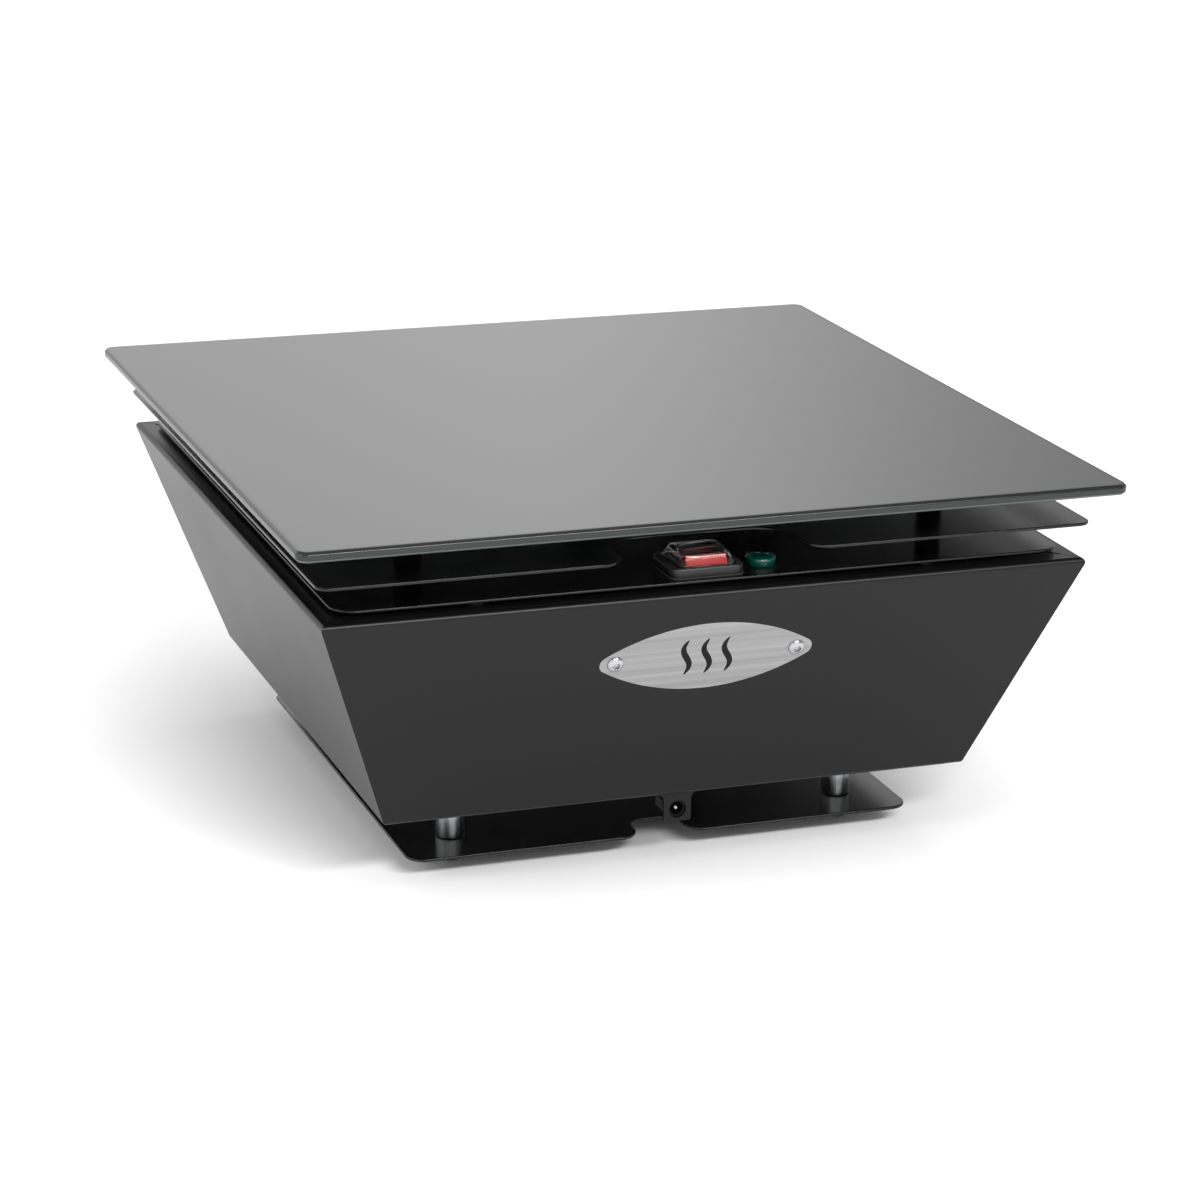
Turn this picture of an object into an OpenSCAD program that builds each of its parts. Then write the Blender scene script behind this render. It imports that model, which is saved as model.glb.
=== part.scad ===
// Square warming base. A heated glass plate floats on spacers over a tapered sheet
// metal case, and the case stands on four posts over a thin base sheet with rubber feet.
// The case holds a rechargeable pack and its control board, charged through a low
// voltage inlet at the front. Units are millimetres. The origin is the middle of the
// footprint on the floor, +Z is up, and the front with the switch faces -Y.

/* [Glass top] */
// Width and depth of the glass plate
plate_w = 400; // [370:5:500]
// Thickness of the glass
glass_t = 5; // [4:0.5:8]
// Radius of the glass corners
glass_corner_r = 6; // [4:1:20]
// Width of the ground bevel along the glass edges
glass_bevel = 1.2; // [0.5:0.1:1.8]
// Thickness of the heating mat bonded under the glass
mat_t = 0.8; // [0.5:0.1:2]
// Thickness of the aluminium plate that spreads the heat
spreader_t = 1.5; // [1:0.5:4]
// How far the heating mat stays inside the glass on each side
mat_inset = 22; // [15:1:40]

/* [Spacers and sheets] */
// Height of the spacers between the heat spreader and the middle sheet
upper_spacer_h = 13.3; // [10:0.1:30]
// Height of the spacers between the middle sheet and the case cover
lower_spacer_h = 13.1; // [12.2:0.1:30]
// Radius of the spacer tubes
spacer_r = 6; // [4:0.5:9]
// Distance of the spacers from the middle in X and Y
spacer_reach = 130; // [100:1:140]
// Thickness of the middle, cover and base sheets
sheet_t = 1.5; // [1:0.1:2.5]
// How far the middle sheet stays inside the glass on each side
middle_inset = 12; // [8:1:20]
// Radius of the middle sheet's corners
middle_corner_r = 7; // [4:1:15]
// Half the width of the finger notch in the middle sheet
notch_half_w = 44.5; // [44:0.5:60]
// Depth of the finger notch in the middle sheet
notch_depth = 38; // [34:1:46]
// How far the case cover stays inside the glass on each side
cover_inset = 22; // [20:1:24]
// Radius of the case cover's corners
cover_corner_r = 12; // [8:1:20]
// Height of the washers that hold the cover off the case
cover_gap = 1.6; // [1:0.1:3]

/* [Case] */
// Height of the case
body_h = 112.3; // [100:0.1:160]
// How far the top of the case stays inside the glass on each side
body_top_inset = 13; // [10:1:16]
// How far the bottom of the case stays inside the glass on each side
body_bottom_inset = 54; // [45:1:56]
// Thickness of the case sheet and of the bottom panel
case_t = 1.2; // [1:0.1:1.8]
// Outer radius of the bends in the case sheet
bend_r = 2.4; // [2:0.1:4]
// Width of the flanges folded in at the top and bottom of the case
flange_w = 25; // [20:1:28]
// How far the bottom panel stays inside the case bottom on each side
panel_inset = 4; // [3:0.5:6]

/* [Posts, base and feet] */
// Height of the posts between the base sheet and the bottom panel
post_h = 25.2; // [20:0.1:50]
// Radius of the posts
post_r = 6.9; // [5.5:0.1:9]
// How far the posts stay inside the opening in the case bottom, from its edge to their middles
post_inset = 21; // [16:1:30]
// How far the base sheet stays inside the glass on each side
base_inset = 72; // [68:1:76]
// Radius of the base sheet's corners
base_corner_r = 9.5; // [5:0.5:15]
// Height of the rubber feet
foot_h = 9.5; // [6:0.5:20]
// Radius of the rubber feet
foot_r = 7.5; // [7:0.5:14]
// Half the width of the lead notch in the base sheet
lead_notch_half_w = 12.5; // [10:0.5:20]
// Depth of the lead notch in the base sheet
lead_notch_depth = 22; // [18:1:30]

/* [Switch and lamp] */
// Width of the switch bezel
bezel_w = 36; // [34:0.5:44]
// Depth of the switch bezel
bezel_d = 28.4; // [28:0.1:36]
// Radius of the bezel's corners
bezel_r = 4.5; // [3:0.5:6]
// How far the switch bezel stands above its gasket
bezel_h = 4.4; // [4.2:0.1:4.8]
// Distance of the switch behind the front edge of the glass
switch_back = 39.4; // [39:0.1:42]
// Width of the rocker
rocker_w = 20; // [16:0.2:20.4]
// Radius of the rocker's round ends about its pin
rocker_end_r = 11.1; // [10.5:0.1:11.2]
// Tilt of the rocker to each side of level, in degrees
rocker_tilt = 11; // [8:1:12]
// Tilt of the see-saw contact to each side of level, in degrees
lever_tilt = 5.5; // [4:0.5:6]
// Radius of the rocker pin
pin_r = 1; // [0.8:0.1:1.2]
// Radius of the indicator lens
lens_r = 7; // [6:0.5:8]
// Height of the indicator lens
lens_h = 4; // [3:0.5:6]
// Distance from the switch's middle to the indicator's middle
lamp_offset = 31; // [28:0.5:38]

/* [Badge] */
// Length of the badge plate
badge_w = 105; // [80:1:130]
// Height of the badge plate
badge_h = 38; // [30:1:46]
// Radius of the badge's tips
badge_tip_r = 5; // [3:0.5:8]
// Distance of the badge's middle down the sloping wall from its top edge
badge_drop = 36.5; // [28:0.1:60]
// Thickness of the badge plate
badge_t = 1; // [0.8:0.1:2]
// Distance between the badge screws
badge_pitch = 89.2; // [60:0.2:95]

/* [Inlet] */
// Width of the tab that carries the inlet
tab_w = 13.8; // [11.4:0.2:18]
// Depth of the tab below the case
tab_h = 15.3; // [13.2:0.1:18]
// Radius of the round hole in the tab
tab_hole_r = 4.4; // [3.6:0.1:4.4]
// Radius of the inlet's socket
socket_r = 3.2; // [3:0.1:3.3]
// Radius of the inlet's centre pin
inlet_pin_r = 1.05; // [0.9:0.05:1.3]

/* [Rechargeable pack] */
// Number of cells along X
cell_columns = 6; // [4:1:8]
// Number of cells along Y
cell_rows = 4; // [2:1:4]
// Radius of a cell
cell_r = 9.2; // [8:0.1:9.3]
// Length of a cell
cell_h = 65; // [50:1:70]
// Distance between cell centres
cell_pitch = 20; // [19.5:0.5:21]

/* [Hidden] */
$fn = 64;

// Overshoot of a cut past the faces it goes through
over = 1;
// Gap between pieces that are pushed together by hand
slip = 0.2;
// Gap round a screw in its clearance hole
hole_slip = 0.25;
// Radial gap of a part that turns on a pin
turn_gap = 0.05;

// Levels, from the floor up
z_base = foot_h;
z_post = z_base + sheet_t;
z_panel = z_post + post_h;
z_body = z_panel + case_t;
z_flange = z_body + body_h;
z_cover = z_flange + cover_gap;
z_cover_top = z_cover + sheet_t;
z_middle = z_cover_top + lower_spacer_h;
z_middle_top = z_middle + sheet_t;
z_spreader = z_middle_top + upper_spacer_h;
z_mat = z_spreader + spreader_t;
z_glass = z_mat + mat_t;

// Half widths
body_top_half = plate_w / 2 - body_top_inset;
body_bottom_half = plate_w / 2 - body_bottom_inset;
cover_half = plate_w / 2 - cover_inset;
middle_half = plate_w / 2 - middle_inset;
base_half = plate_w / 2 - base_inset;
panel_half = body_bottom_half - panel_inset;
top_opening_half = body_top_half - flange_w;
bottom_opening_half = body_bottom_half - flange_w;
post_reach = bottom_opening_half - post_inset;

// Lean of the case walls from upright, in degrees
lean = atan((body_top_half - body_bottom_half) / body_h);

// Corner patterns, each a list of four signs
corners = [[-1, -1], [1, -1], [1, 1], [-1, 1]];

// Fixing points of the cover on the top flange, and of the panel on the bottom one
cover_fix = (top_opening_half + cover_half) / 2;
cover_fix_along = 110;
panel_fix = (bottom_opening_half + panel_half) / 2;
panel_fix_along = 85;

// Screw sizes
stud_r = 2;
post_screw_r = 2.5;
small_screw_r = 1.5;

// Switch frame: the rocker's pin runs along X through this point
gasket_t = 0.6;
pivot_rise = 3;
switch_y = -plate_w / 2 + switch_back;
switch_pivot = [0, switch_y, z_cover_top + pivot_rise];
bezel_top = gasket_t + bezel_h - pivot_rise;
housing_w = 30;
housing_wall = 1.2;
housing_d = 2 * (rocker_end_r + 0.3 + housing_wall);
housing_depth = 22;
lever_drop = 13.4;
lever_t = 0.8;
lever_half = 8;
contact_h = 0.6;
contact_y = 6.6;
contact_gap = 0.15;
plunger_r = 1.5;
plunger_reach = 12.3;
stem_r = 2.6;
stem_reach = 9;
terminal_w = 6.3;
terminal_t = 0.8;
terminal_reach = 30;
lamp_at = [lamp_offset, switch_y, z_cover_top];
lamp_barrel_r = 5;

// Leads: the hole they share in the sheets, and their diameters
lead_hole = [70, -70];
grommet_r = 6;
grommet_wall = 1.5;
power_lead_d = 3;
signal_lead_d = 1.6;

// Inlet
tab_y = -panel_half;
jack_w = 9;
jack_d = 13.5;
jack_h = 10.6;
socket_depth = 9.5;
inlet_z = z_body - tab_h + 6;

// Pack and board
pack_y = 48;
tray_t = 1.2;
holder_t = 6;
z_cells = z_body + tray_t + holder_t / 2;
pack_w = cell_columns * cell_pitch + 2;
pack_d = cell_rows * cell_pitch + 2;
board_y = -52;
board_w = 120;
board_d = 62;
board_t = 1.6;
board_lift = 8;
z_board = z_body + board_lift;
z_board_top = z_board + board_t;
heatsink_lift = 3.2;

// Places on the board where the leads end, and the height of the terminals there
port_h = 10;
heater_port = [50, board_y - 8];
sensor_port = [37, board_y - 3];
inlet_port = [-20, board_y - 23];
pack_port = [0, board_y + 23];
switch_port = [18.5, board_y - 23];
lamp_port = [41, board_y - 23];

function unit(v) = v / norm(v);

// Points of a smooth line through every given point
function smooth_line(p, n) = [
    for (i = [0:len(p) - 2])
        for (k = [0:n - 1])
            let (
                t = k / n,
                a = p[max(i - 1, 0)],
                b = p[i],
                c = p[i + 1],
                d = p[min(i + 2, len(p) - 1)]
            )
            (2 * b + (c - a) * t + (2 * a - 5 * b + 4 * c - d) * t * t
                + (3 * b - a - 3 * c + d) * t * t * t) / 2,
    p[len(p) - 1]
];

// Points round an arc from one angle to another, both ends included
function arc(centre, r, from, to, steps) = [
    for (i = [0:steps])
        let (a = from + (to - from) * i / steps)
        centre + r * [cos(a), sin(a)]
];

// The points on the right of the Y axis mirrored to its left, in reverse order
function mirrored(p) = [for (i = [len(p) - 1:-1:0]) if (p[i].x > 0.001) [-p[i].x, p[i].y]];

// Direction of a line at point i
function line_dir(p, i) = unit(p[min(i + 1, len(p) - 1)] - p[max(i - 1, 0)]);

// A round tube along a line. The line is nowhere parallel to the direction `side`.
module tube(p, d, side, sides = 8) {
    rings = [
        for (i = [0:len(p) - 1])
            let (
                t = line_dir(p, i),
                n = unit(cross(t, side)),
                b = cross(t, n)
            )
            for (j = [0:sides - 1]) p[i] + d / 2 * (cos(360 * j / sides) * n + sin(360 * j / sides) * b)
    ];
    walls = [
        for (i = [0:len(p) - 2])
            for (j = [0:sides - 1])
                let (k = (j + 1) % sides)
                each [
                    [i * sides + j, (i + 1) * sides + j, (i + 1) * sides + k],
                    [i * sides + j, (i + 1) * sides + k, i * sides + k]
                ]
    ];
    last = (len(p) - 1) * sides;
    ends = [[for (j = [0:sides - 1]) j], [for (j = [sides - 1:-1:0]) last + j]];
    polyhedron(points = rings, faces = concat(walls, ends));
}

// An outline with round corners, centred
module rounded_rect(w, d, r) {
    square([w - 2 * r, d], center = true);
    square([w, d - 2 * r], center = true);
    for (c = corners) translate([c.x * (w / 2 - r), c.y * (d / 2 - r)]) circle(r);
}

// Outline of a notch cut in from the line y = 0 towards +Y, with round inner
// corners and a mouth that opens in a curve on both sides
module notch(half_w, depth, inner_r, mouth_r) {
    translate([-half_w, -over]) square([2 * half_w, depth - inner_r + over]);
    translate([inner_r - half_w, -over]) square([2 * (half_w - inner_r), depth + over]);
    for (s = [-1, 1]) {
        translate([s * (half_w - inner_r), depth - inner_r]) circle(inner_r);
        difference() {
            translate([s * (half_w + mouth_r / 2), (mouth_r - over) / 2])
                square([mouth_r, mouth_r + over], center = true);
            translate([s * (half_w + mouth_r), mouth_r]) circle(mouth_r);
        }
    }
}

// Children at the four posts of a square pattern
module at_corners(reach) {
    for (c = corners) translate([c.x * reach, c.y * reach]) children();
}

// Children at two points on each side of a square: `out` from the middle and
// `along` each way from the side's centre
module at_sides(out, along) {
    for (a = [0:90:270])
        rotate(a)
            for (s = [-1, 1]) translate([s * along, -out]) children();
}

// A screw along +Z: its shank above z = 0 and its button head below
module button_screw(r, length, head_r, head_h) {
    cylinder(r = r, h = length);
    difference() {
        translate([0, 0, -head_h]) cylinder(r1 = head_r * 0.62, r2 = head_r, h = head_h);
        translate([0, 0, -head_h - over]) cylinder(r = head_r * 0.36, h = head_h * 0.6 + over, $fn = 6);
    }
}

// A six-sided nut standing on z = 0
module hex_nut(bore_r, nut_r, h) {
    difference() {
        cylinder(r = nut_r, h = h, $fn = 6);
        translate([0, 0, -over]) cylinder(r = bore_r, h = h + 2 * over);
    }
}

module tube_post(r, bore_r, h) {
    difference() {
        cylinder(r = r, h = h);
        translate([0, 0, -over]) cylinder(r = bore_r, h = h + 2 * over);
    }
}

// ---- Glass top and its stack ----

// Edge profile of the glass: a rectangle with both arrises bevelled
module glass_profile(half_w) {
    polygon([
        [-half_w + glass_bevel, 0], [half_w - glass_bevel, 0], [half_w, glass_bevel],
        [half_w, glass_t - glass_bevel], [half_w - glass_bevel, glass_t],
        [-half_w + glass_bevel, glass_t], [-half_w, glass_t - glass_bevel],
        [-half_w, glass_bevel]
    ]);
}

module glass_plate() {
    inner = plate_w - 2 * glass_corner_r;
    reach = plate_w / 2 - glass_corner_r;
    color("black")
        translate([0, 0, z_glass])
            union() {
                rotate([90, 0, 0]) linear_extrude(height = inner, center = true) glass_profile(plate_w / 2);
                rotate([90, 0, 90]) linear_extrude(height = inner, center = true) glass_profile(plate_w / 2);
                at_corners(reach)
                    rotate_extrude()
                        intersection() {
                            glass_profile(glass_corner_r);
                            square([glass_corner_r, glass_t]);
                        }
            }
}

module heater_mat() {
    w = plate_w - 2 * mat_inset;
    color("dimgray")
        translate([0, 0, z_mat])
            linear_extrude(mat_t) rounded_rect(w, w, 8);
}

module spreader_plate() {
    w = plate_w - 2 * mat_inset;
    color("silver")
        translate([0, 0, z_spreader])
            linear_extrude(spreader_t)
                difference() {
                    rounded_rect(w, w, 8);
                    translate(lead_hole) circle(grommet_r);
                }
}

module stack_studs() {
    reach_down = z_spreader - z_cover + 5;
    color("silver")
        at_corners(spacer_reach)
            translate([0, 0, z_spreader - reach_down]) cylinder(r = stud_r, h = reach_down);
}

module thermal_cutout() {
    color("dimgray")
        translate([0, 0, z_spreader]) {
            translate([0, 0, -5.5]) cylinder(r = 8, h = 5.5);
            translate([0, 0, -7.5]) cylinder(r = 6, h = 2);
            translate([-12, -4, -1]) cube([24, 8, 1]);
            for (s = [-1, 1]) translate([s * 4 - 2, -0.4, -9.5]) cube([4, 0.8, 2]);
        }
}

// Two power leads from the mat, straight down through both grommets to the board
module heater_leads() {
    color("firebrick")
        for (s = [-1, 1]) {
            x = lead_hole.x + 2.2 * s;
            y = lead_hole.y - 2;
            x_port = heater_port.x + 4 * s;
            tube(smooth_line([
                [x, y, z_mat], [x, y, z_middle], [x, y, z_cover - 5], [x - 2, y + 6, z_body + 70],
                [(x + x_port) / 2, heater_port.y, z_body + 40], [x_port, heater_port.y, z_body + 28],
                [x_port, heater_port.y, z_board_top + port_h]
            ], 6), power_lead_d, [0, 1, 0.3]);
        }
}

// Two thin leads from the thermal cut-out, across under the spreader and down
module sensor_leads() {
    z_run = z_spreader - 9;
    color("white")
        for (s = [-1, 1]) {
            x = lead_hole.x + 1.6 * s;
            y = lead_hole.y + 3;
            x_port = sensor_port.x + 1.6 * s;
            tube(smooth_line([
                [4 * s, 0, z_run], [4 * s + 2, -6, z_run - 0.6], [30 + 3 * s, -34, z_run - 0.6],
                [x - 4, y + 4, z_run - 0.4], [x, y, z_run - 3], [x, y, z_middle],
                [x, y, z_cover - 5], [x - 8, y + 8, z_body + 70], [x - 22, y + 12, z_body + 38],
                [x_port, sensor_port.y, z_body + 28], [x_port, sensor_port.y, z_board_top + port_h]
            ], 5), signal_lead_d, [0.7, 0.72, 0]);
        }
}

module upper_spacers() {
    color("silver")
        at_corners(spacer_reach)
            translate([0, 0, z_middle_top]) tube_post(spacer_r, stud_r + hole_slip, upper_spacer_h);
}

module middle_plate() {
    w = 2 * middle_half;
    color("black")
        translate([0, 0, z_middle])
            linear_extrude(sheet_t)
                difference() {
                    rounded_rect(w, w, middle_corner_r);
                    translate([0, -middle_half]) notch(notch_half_w, notch_depth, 18, 12);
                    at_corners(spacer_reach) circle(stud_r + hole_slip);
                    translate(lead_hole) circle(grommet_r + grommet_wall);
                }
}

module lower_spacers() {
    color("silver")
        at_corners(spacer_reach)
            translate([0, 0, z_cover_top]) tube_post(spacer_r, stud_r + hole_slip, lower_spacer_h);
}

module cover_plate() {
    w = 2 * cover_half;
    color("black")
        translate([0, 0, z_cover])
            linear_extrude(sheet_t)
                difference() {
                    rounded_rect(w, w, cover_corner_r);
                    at_corners(spacer_reach) circle(stud_r + hole_slip);
                    translate(lead_hole) circle(grommet_r + grommet_wall);
                    translate([0, switch_y])
                        square([housing_w + 2 * slip, housing_d + 2 * slip], center = true);
                    translate([lamp_at.x, lamp_at.y]) circle(lamp_barrel_r + slip);
                }
}

module stack_nuts() {
    color("silver")
        at_corners(spacer_reach)
            translate([0, 0, z_cover - 3.2]) hex_nut(stud_r, 4, 3.2);
}

// A rubber ring with a groove that grips the edge of the hole in a sheet
module grommet(z) {
    lip_r = grommet_r + grommet_wall + 2;
    translate([lead_hole.x, lead_hole.y, z])
        difference() {
            union() {
                translate([0, 0, -2]) cylinder(r = lip_r, h = 2);
                cylinder(r = grommet_r + grommet_wall, h = sheet_t);
                translate([0, 0, sheet_t]) cylinder(r = lip_r, h = 2);
            }
            translate([0, 0, -2 - over]) cylinder(r = grommet_r, h = sheet_t + 4 + 2 * over);
        }
}

module lead_grommets() {
    color("dimgray") {
        grommet(z_middle);
        grommet(z_cover);
    }
}

module cover_studs() {
    length = cover_gap + case_t + 7;
    color("silver")
        at_sides(cover_fix, cover_fix_along)
            translate([0, 0, z_cover - length]) cylinder(r = stud_r, h = length);
}

module cover_washers() {
    color("dimgray")
        at_sides(cover_fix, cover_fix_along)
            translate([0, 0, z_flange]) tube_post(5, stud_r + hole_slip, cover_gap);
}

module cover_nuts() {
    color("silver")
        at_sides(cover_fix, cover_fix_along)
            translate([0, 0, z_flange - case_t - 3.2]) hex_nut(stud_r, 4, 3.2);
}

// ---- Case ----

// Upright section of the case, `off` inside its outer face, with its corners
// rounded as the sheet is bent
module case_section(off) {
    top_half = body_top_half - off * tan(lean) - off / cos(lean);
    bottom_half = body_bottom_half + off * tan(lean) - off / cos(lean);
    top = z_flange - off;
    bottom = z_body + off;
    r = bend_r - off;
    top_centre = [top_half - r / tan((90 - lean) / 2), top - r];
    bottom_centre = [bottom_half - r / tan((90 + lean) / 2), bottom + r];
    right = concat(arc(bottom_centre, r, -90, -lean, 6), arc(top_centre, r, -lean, 90, 8));
    polygon(concat(right, mirrored(right)));
}

module case_block(off) {
    intersection() {
        rotate([90, 0, 0]) linear_extrude(height = plate_w, center = true) case_section(off);
        rotate([90, 0, 90]) linear_extrude(height = plate_w, center = true) case_section(off);
    }
}

// Children on the outside of the front wall: their +Z points out of the wall,
// and `drop` is measured down the slope from the top edge
module on_front_wall(drop) {
    translate([0, -body_top_half + drop * sin(lean), z_flange - drop * cos(lean)])
        rotate([90 + lean, 0, 0]) children();
}

module body_shell() {
    seam_w = 0.4;
    relief_w = 1.8;
    seam_start = top_opening_half * sqrt(2);
    seam_end = (body_top_half - 4) * sqrt(2);
    relief_end = (cover_half - 1) * sqrt(2);
    switch_half = lamp_offset + lamp_barrel_r + 12;
    color("dimgray")
        difference() {
            case_block(0);
            case_block(case_t);
            translate([0, 0, z_flange - case_t - over])
                linear_extrude(case_t + 2 * over)
                    rounded_rect(2 * top_opening_half, 2 * top_opening_half, 3);
            translate([0, 0, z_body - over])
                linear_extrude(case_t + 2 * over)
                    rounded_rect(2 * bottom_opening_half, 2 * bottom_opening_half, 3);
            // Room in the front flange for the switch and the indicator
            translate([0, switch_y, z_flange - case_t / 2])
                cube([2 * switch_half, housing_d + 3, case_t + 2 * over], center = true);
            // Mitre seams where the folded flanges meet, wider at the inner end
            for (a = [45:90:315])
                rotate([0, 0, a]) {
                    translate([seam_start - 6, -seam_w / 2, z_flange - case_t - over])
                        cube([seam_end - seam_start + 6, seam_w, case_t + 2 * over]);
                    translate([seam_start - 6, -relief_w / 2, z_flange - case_t - over])
                        cube([relief_end - seam_start + 6, relief_w, case_t + 2 * over]);
                }
            at_sides(cover_fix, cover_fix_along)
                translate([0, 0, z_flange - case_t - over])
                    cylinder(r = stud_r + hole_slip, h = case_t + 2 * over);
            at_sides(panel_fix, panel_fix_along)
                translate([0, 0, z_body - over]) cylinder(r = stud_r + hole_slip, h = case_t + 2 * over);
            on_front_wall(badge_drop)
                for (s = [-1, 1])
                    translate([s * badge_pitch / 2, 0, -case_t - over])
                        cylinder(r = small_screw_r + hole_slip, h = case_t + 2 * over);
        }
}

// Outline of the inlet tab, hanging from y = 0, with curved roots and round hole
module tab_outline() {
    root_r = 3.5;
    difference() {
        union() {
            translate([-tab_w / 2, 1 - tab_h]) square([tab_w, tab_h - 1]);
            translate([1 - tab_w / 2, -tab_h]) square([tab_w - 2, tab_h]);
            for (s = [-1, 1]) {
                translate([s * (tab_w / 2 - 1), 1 - tab_h]) circle(1);
                difference() {
                    translate([s * (tab_w + root_r) / 2, -(case_t + root_r) / 2])
                        square([root_r, case_t + root_r], center = true);
                    translate([s * (tab_w / 2 + root_r), -case_t - root_r]) circle(root_r);
                }
            }
        }
        translate([0, inlet_z - z_body]) circle(tab_hole_r);
    }
}

// Holes in the bottom panel for the posts, the fixings, the leads and the air
module panel_holes() {
    at_corners(post_reach) circle(post_screw_r + hole_slip);
    at_sides(panel_fix, panel_fix_along) circle(stud_r + hole_slip);
    translate([0, -bottom_opening_half + 10]) circle(5);
    at_board_corners() circle(small_screw_r + hole_slip);
    for (x = [-1, 1])
        for (i = [-2:2]) translate([x * (bottom_opening_half - 26), i * 12]) rounded_rect(32, 4, 1.9);
}

module bottom_panel() {
    color("black")
        union() {
            translate([0, 0, z_panel])
                linear_extrude(case_t)
                    difference() {
                        rounded_rect(2 * panel_half, 2 * panel_half, 4);
                        panel_holes();
                    }
            translate([0, tab_y + case_t, z_body])
                rotate([90, 0, 0]) linear_extrude(case_t) tab_outline();
        }
}

module panel_screws() {
    color("silver")
        at_sides(panel_fix, panel_fix_along)
            translate([0, 0, z_panel]) button_screw(stud_r, 2 * case_t + 5, 3.8, 2.2);
}

module panel_nuts() {
    color("silver")
        at_sides(panel_fix, panel_fix_along)
            translate([0, 0, z_body + case_t]) hex_nut(stud_r, 4, 3.2);
}

// ---- Posts, base and feet ----

module posts() {
    color("silver")
        at_corners(post_reach)
            translate([0, 0, z_post]) tube_post(post_r, post_screw_r, post_h);
}

module post_screws() {
    color("silver")
        at_corners(post_reach)
            translate([0, 0, z_body]) mirror([0, 0, 1]) button_screw(post_screw_r, case_t + 10, 4.7, 2.7);
}

module base_plate() {
    w = 2 * base_half;
    color("black")
        translate([0, 0, z_base])
            linear_extrude(sheet_t)
                difference() {
                    rounded_rect(w, w, base_corner_r);
                    translate([0, -base_half]) notch(lead_notch_half_w, lead_notch_depth, 8, 10);
                    at_corners(post_reach) circle(post_screw_r + hole_slip);
                }
}

module feet() {
    head_room = 4;
    color("dimgray")
        at_corners(post_reach)
            difference() {
                cylinder(r1 = foot_r - 0.6, r2 = foot_r, h = foot_h);
                translate([0, 0, -over]) cylinder(r = post_screw_r + hole_slip, h = foot_h + 2 * over);
                translate([0, 0, -over]) cylinder(r = 5.2, h = head_room + over);
            }
}

module foot_screws() {
    head_room = 4;
    color("silver")
        at_corners(post_reach)
            translate([0, 0, head_room])
                button_screw(post_screw_r, foot_h - head_room + sheet_t + 10, 4.7, 2.7);
}

// ---- Switch ----

module at_pivot() {
    translate(switch_pivot) children();
}

// Housing with the bezel that rests on the cover, open at the top for the rocker
module switch_housing() {
    cavity_w = rocker_w + 0.6;
    cavity_d = housing_d - 2 * housing_wall;
    color("black")
        at_pivot()
            difference() {
                union() {
                    translate([0, 0, gasket_t - pivot_rise])
                        linear_extrude(bezel_h - 0.8) rounded_rect(bezel_w, bezel_d, bezel_r);
                    translate([0, 0, gasket_t - pivot_rise])
                        linear_extrude(bezel_h) rounded_rect(bezel_w - 1.6, bezel_d - 1.6, bezel_r - 0.8);
                    translate([-housing_w / 2, -housing_d / 2, -housing_depth])
                        cube([housing_w, housing_d, housing_depth - pivot_rise + gasket_t + over]);
                }
                translate([-cavity_w / 2, -cavity_d / 2, 2 - housing_depth])
                    cube([cavity_w, cavity_d, housing_depth + bezel_top]);
                rotate([0, 90, 0]) cylinder(r = pin_r, h = 26, center = true);
                for (s = [-1, 0, 1])
                    translate([-terminal_w / 2 - slip, s * contact_y - terminal_t / 2 - slip,
                        -housing_depth - over])
                        cube([terminal_w + 2 * slip, terminal_t + 2 * slip, 2 + 2 * over]);
            }
}

module switch_gasket() {
    color("dimgray")
        translate([0, switch_y, z_cover_top])
            linear_extrude(gasket_t)
                difference() {
                    rounded_rect(bezel_w + 0.8, bezel_d + 0.8, bezel_r + 0.4);
                    square([housing_w + 2 * slip, housing_d + 2 * slip], center = true);
                }
}

// Soft clear cover: a rim on the bezel and a tapered hood over the rocker
module hood(off) {
    rim_half = [13.8 - off, 12.7 - off];
    crown_half = [11.6 - off, 10.2 - off];
    rise = 5.8 - off;
    hull() {
        linear_extrude(0.1) rounded_rect(2 * rim_half.x, 2 * rim_half.y, 3.2 - off);
        translate([0, 0, rise - 0.7])
            linear_extrude(0.1) rounded_rect(2 * crown_half.x, 2 * crown_half.y, 2.6 - off);
        translate([0, 0, rise - 0.1])
            linear_extrude(0.1) rounded_rect(2 * crown_half.x - 1.2, 2 * crown_half.y - 1.2, 2 - off);
    }
}

module splash_cover() {
    skin = 0.6;
    rim_w = 14.6;
    rim_d = 13.4;
    color("whitesmoke", 0.4)
        at_pivot()
            translate([0, 0, bezel_top])
                difference() {
                    union() {
                        hood(0, $fn = 32);
                        linear_extrude(skin) rounded_rect(2 * rim_w, 2 * rim_d, 3.6);
                    }
                    translate([0, 0, -0.02]) hood(skin, $fn = 32);
                }
}

// Side view of the rocker about its pin: round ends, a shallow V on top
module rocker_section() {
    crown = 2.84;
    tip = crown + 12 * tan(rocker_tilt);
    intersection() {
        circle(rocker_end_r);
        polygon([[-12, tip], [0, crown], [12, tip], [12, -0.6], [6, -2.4], [-6, -2.4], [-12, -0.6]]);
    }
}

module rocker() {
    color("red")
        at_pivot()
            rotate([-rocker_tilt, 0, 0])
                difference() {
                    union() {
                        rotate([90, 0, 90])
                            linear_extrude(height = rocker_w, center = true) rocker_section();
                        translate([0, 0, -stem_reach]) cylinder(r = stem_r, h = stem_reach);
                    }
                    rotate([0, 90, 0]) cylinder(r = pin_r + turn_gap, h = rocker_w + 2 * over, center = true);
                    translate([0, 0, -stem_reach - over])
                        cylinder(r = plunger_r + 0.1, h = stem_reach - pin_r - 0.6 + over);
                }
}

module rocker_pin() {
    color("silver")
        at_pivot() rotate([0, 90, 0]) cylinder(r = pin_r, h = 26, center = true);
}

module plunger() {
    color("white")
        at_pivot()
            rotate([-rocker_tilt, 0, 0])
                translate([0, 0, plunger_r - plunger_reach]) {
                    sphere(plunger_r);
                    cylinder(r = plunger_r, h = 6);
                }
}

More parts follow.
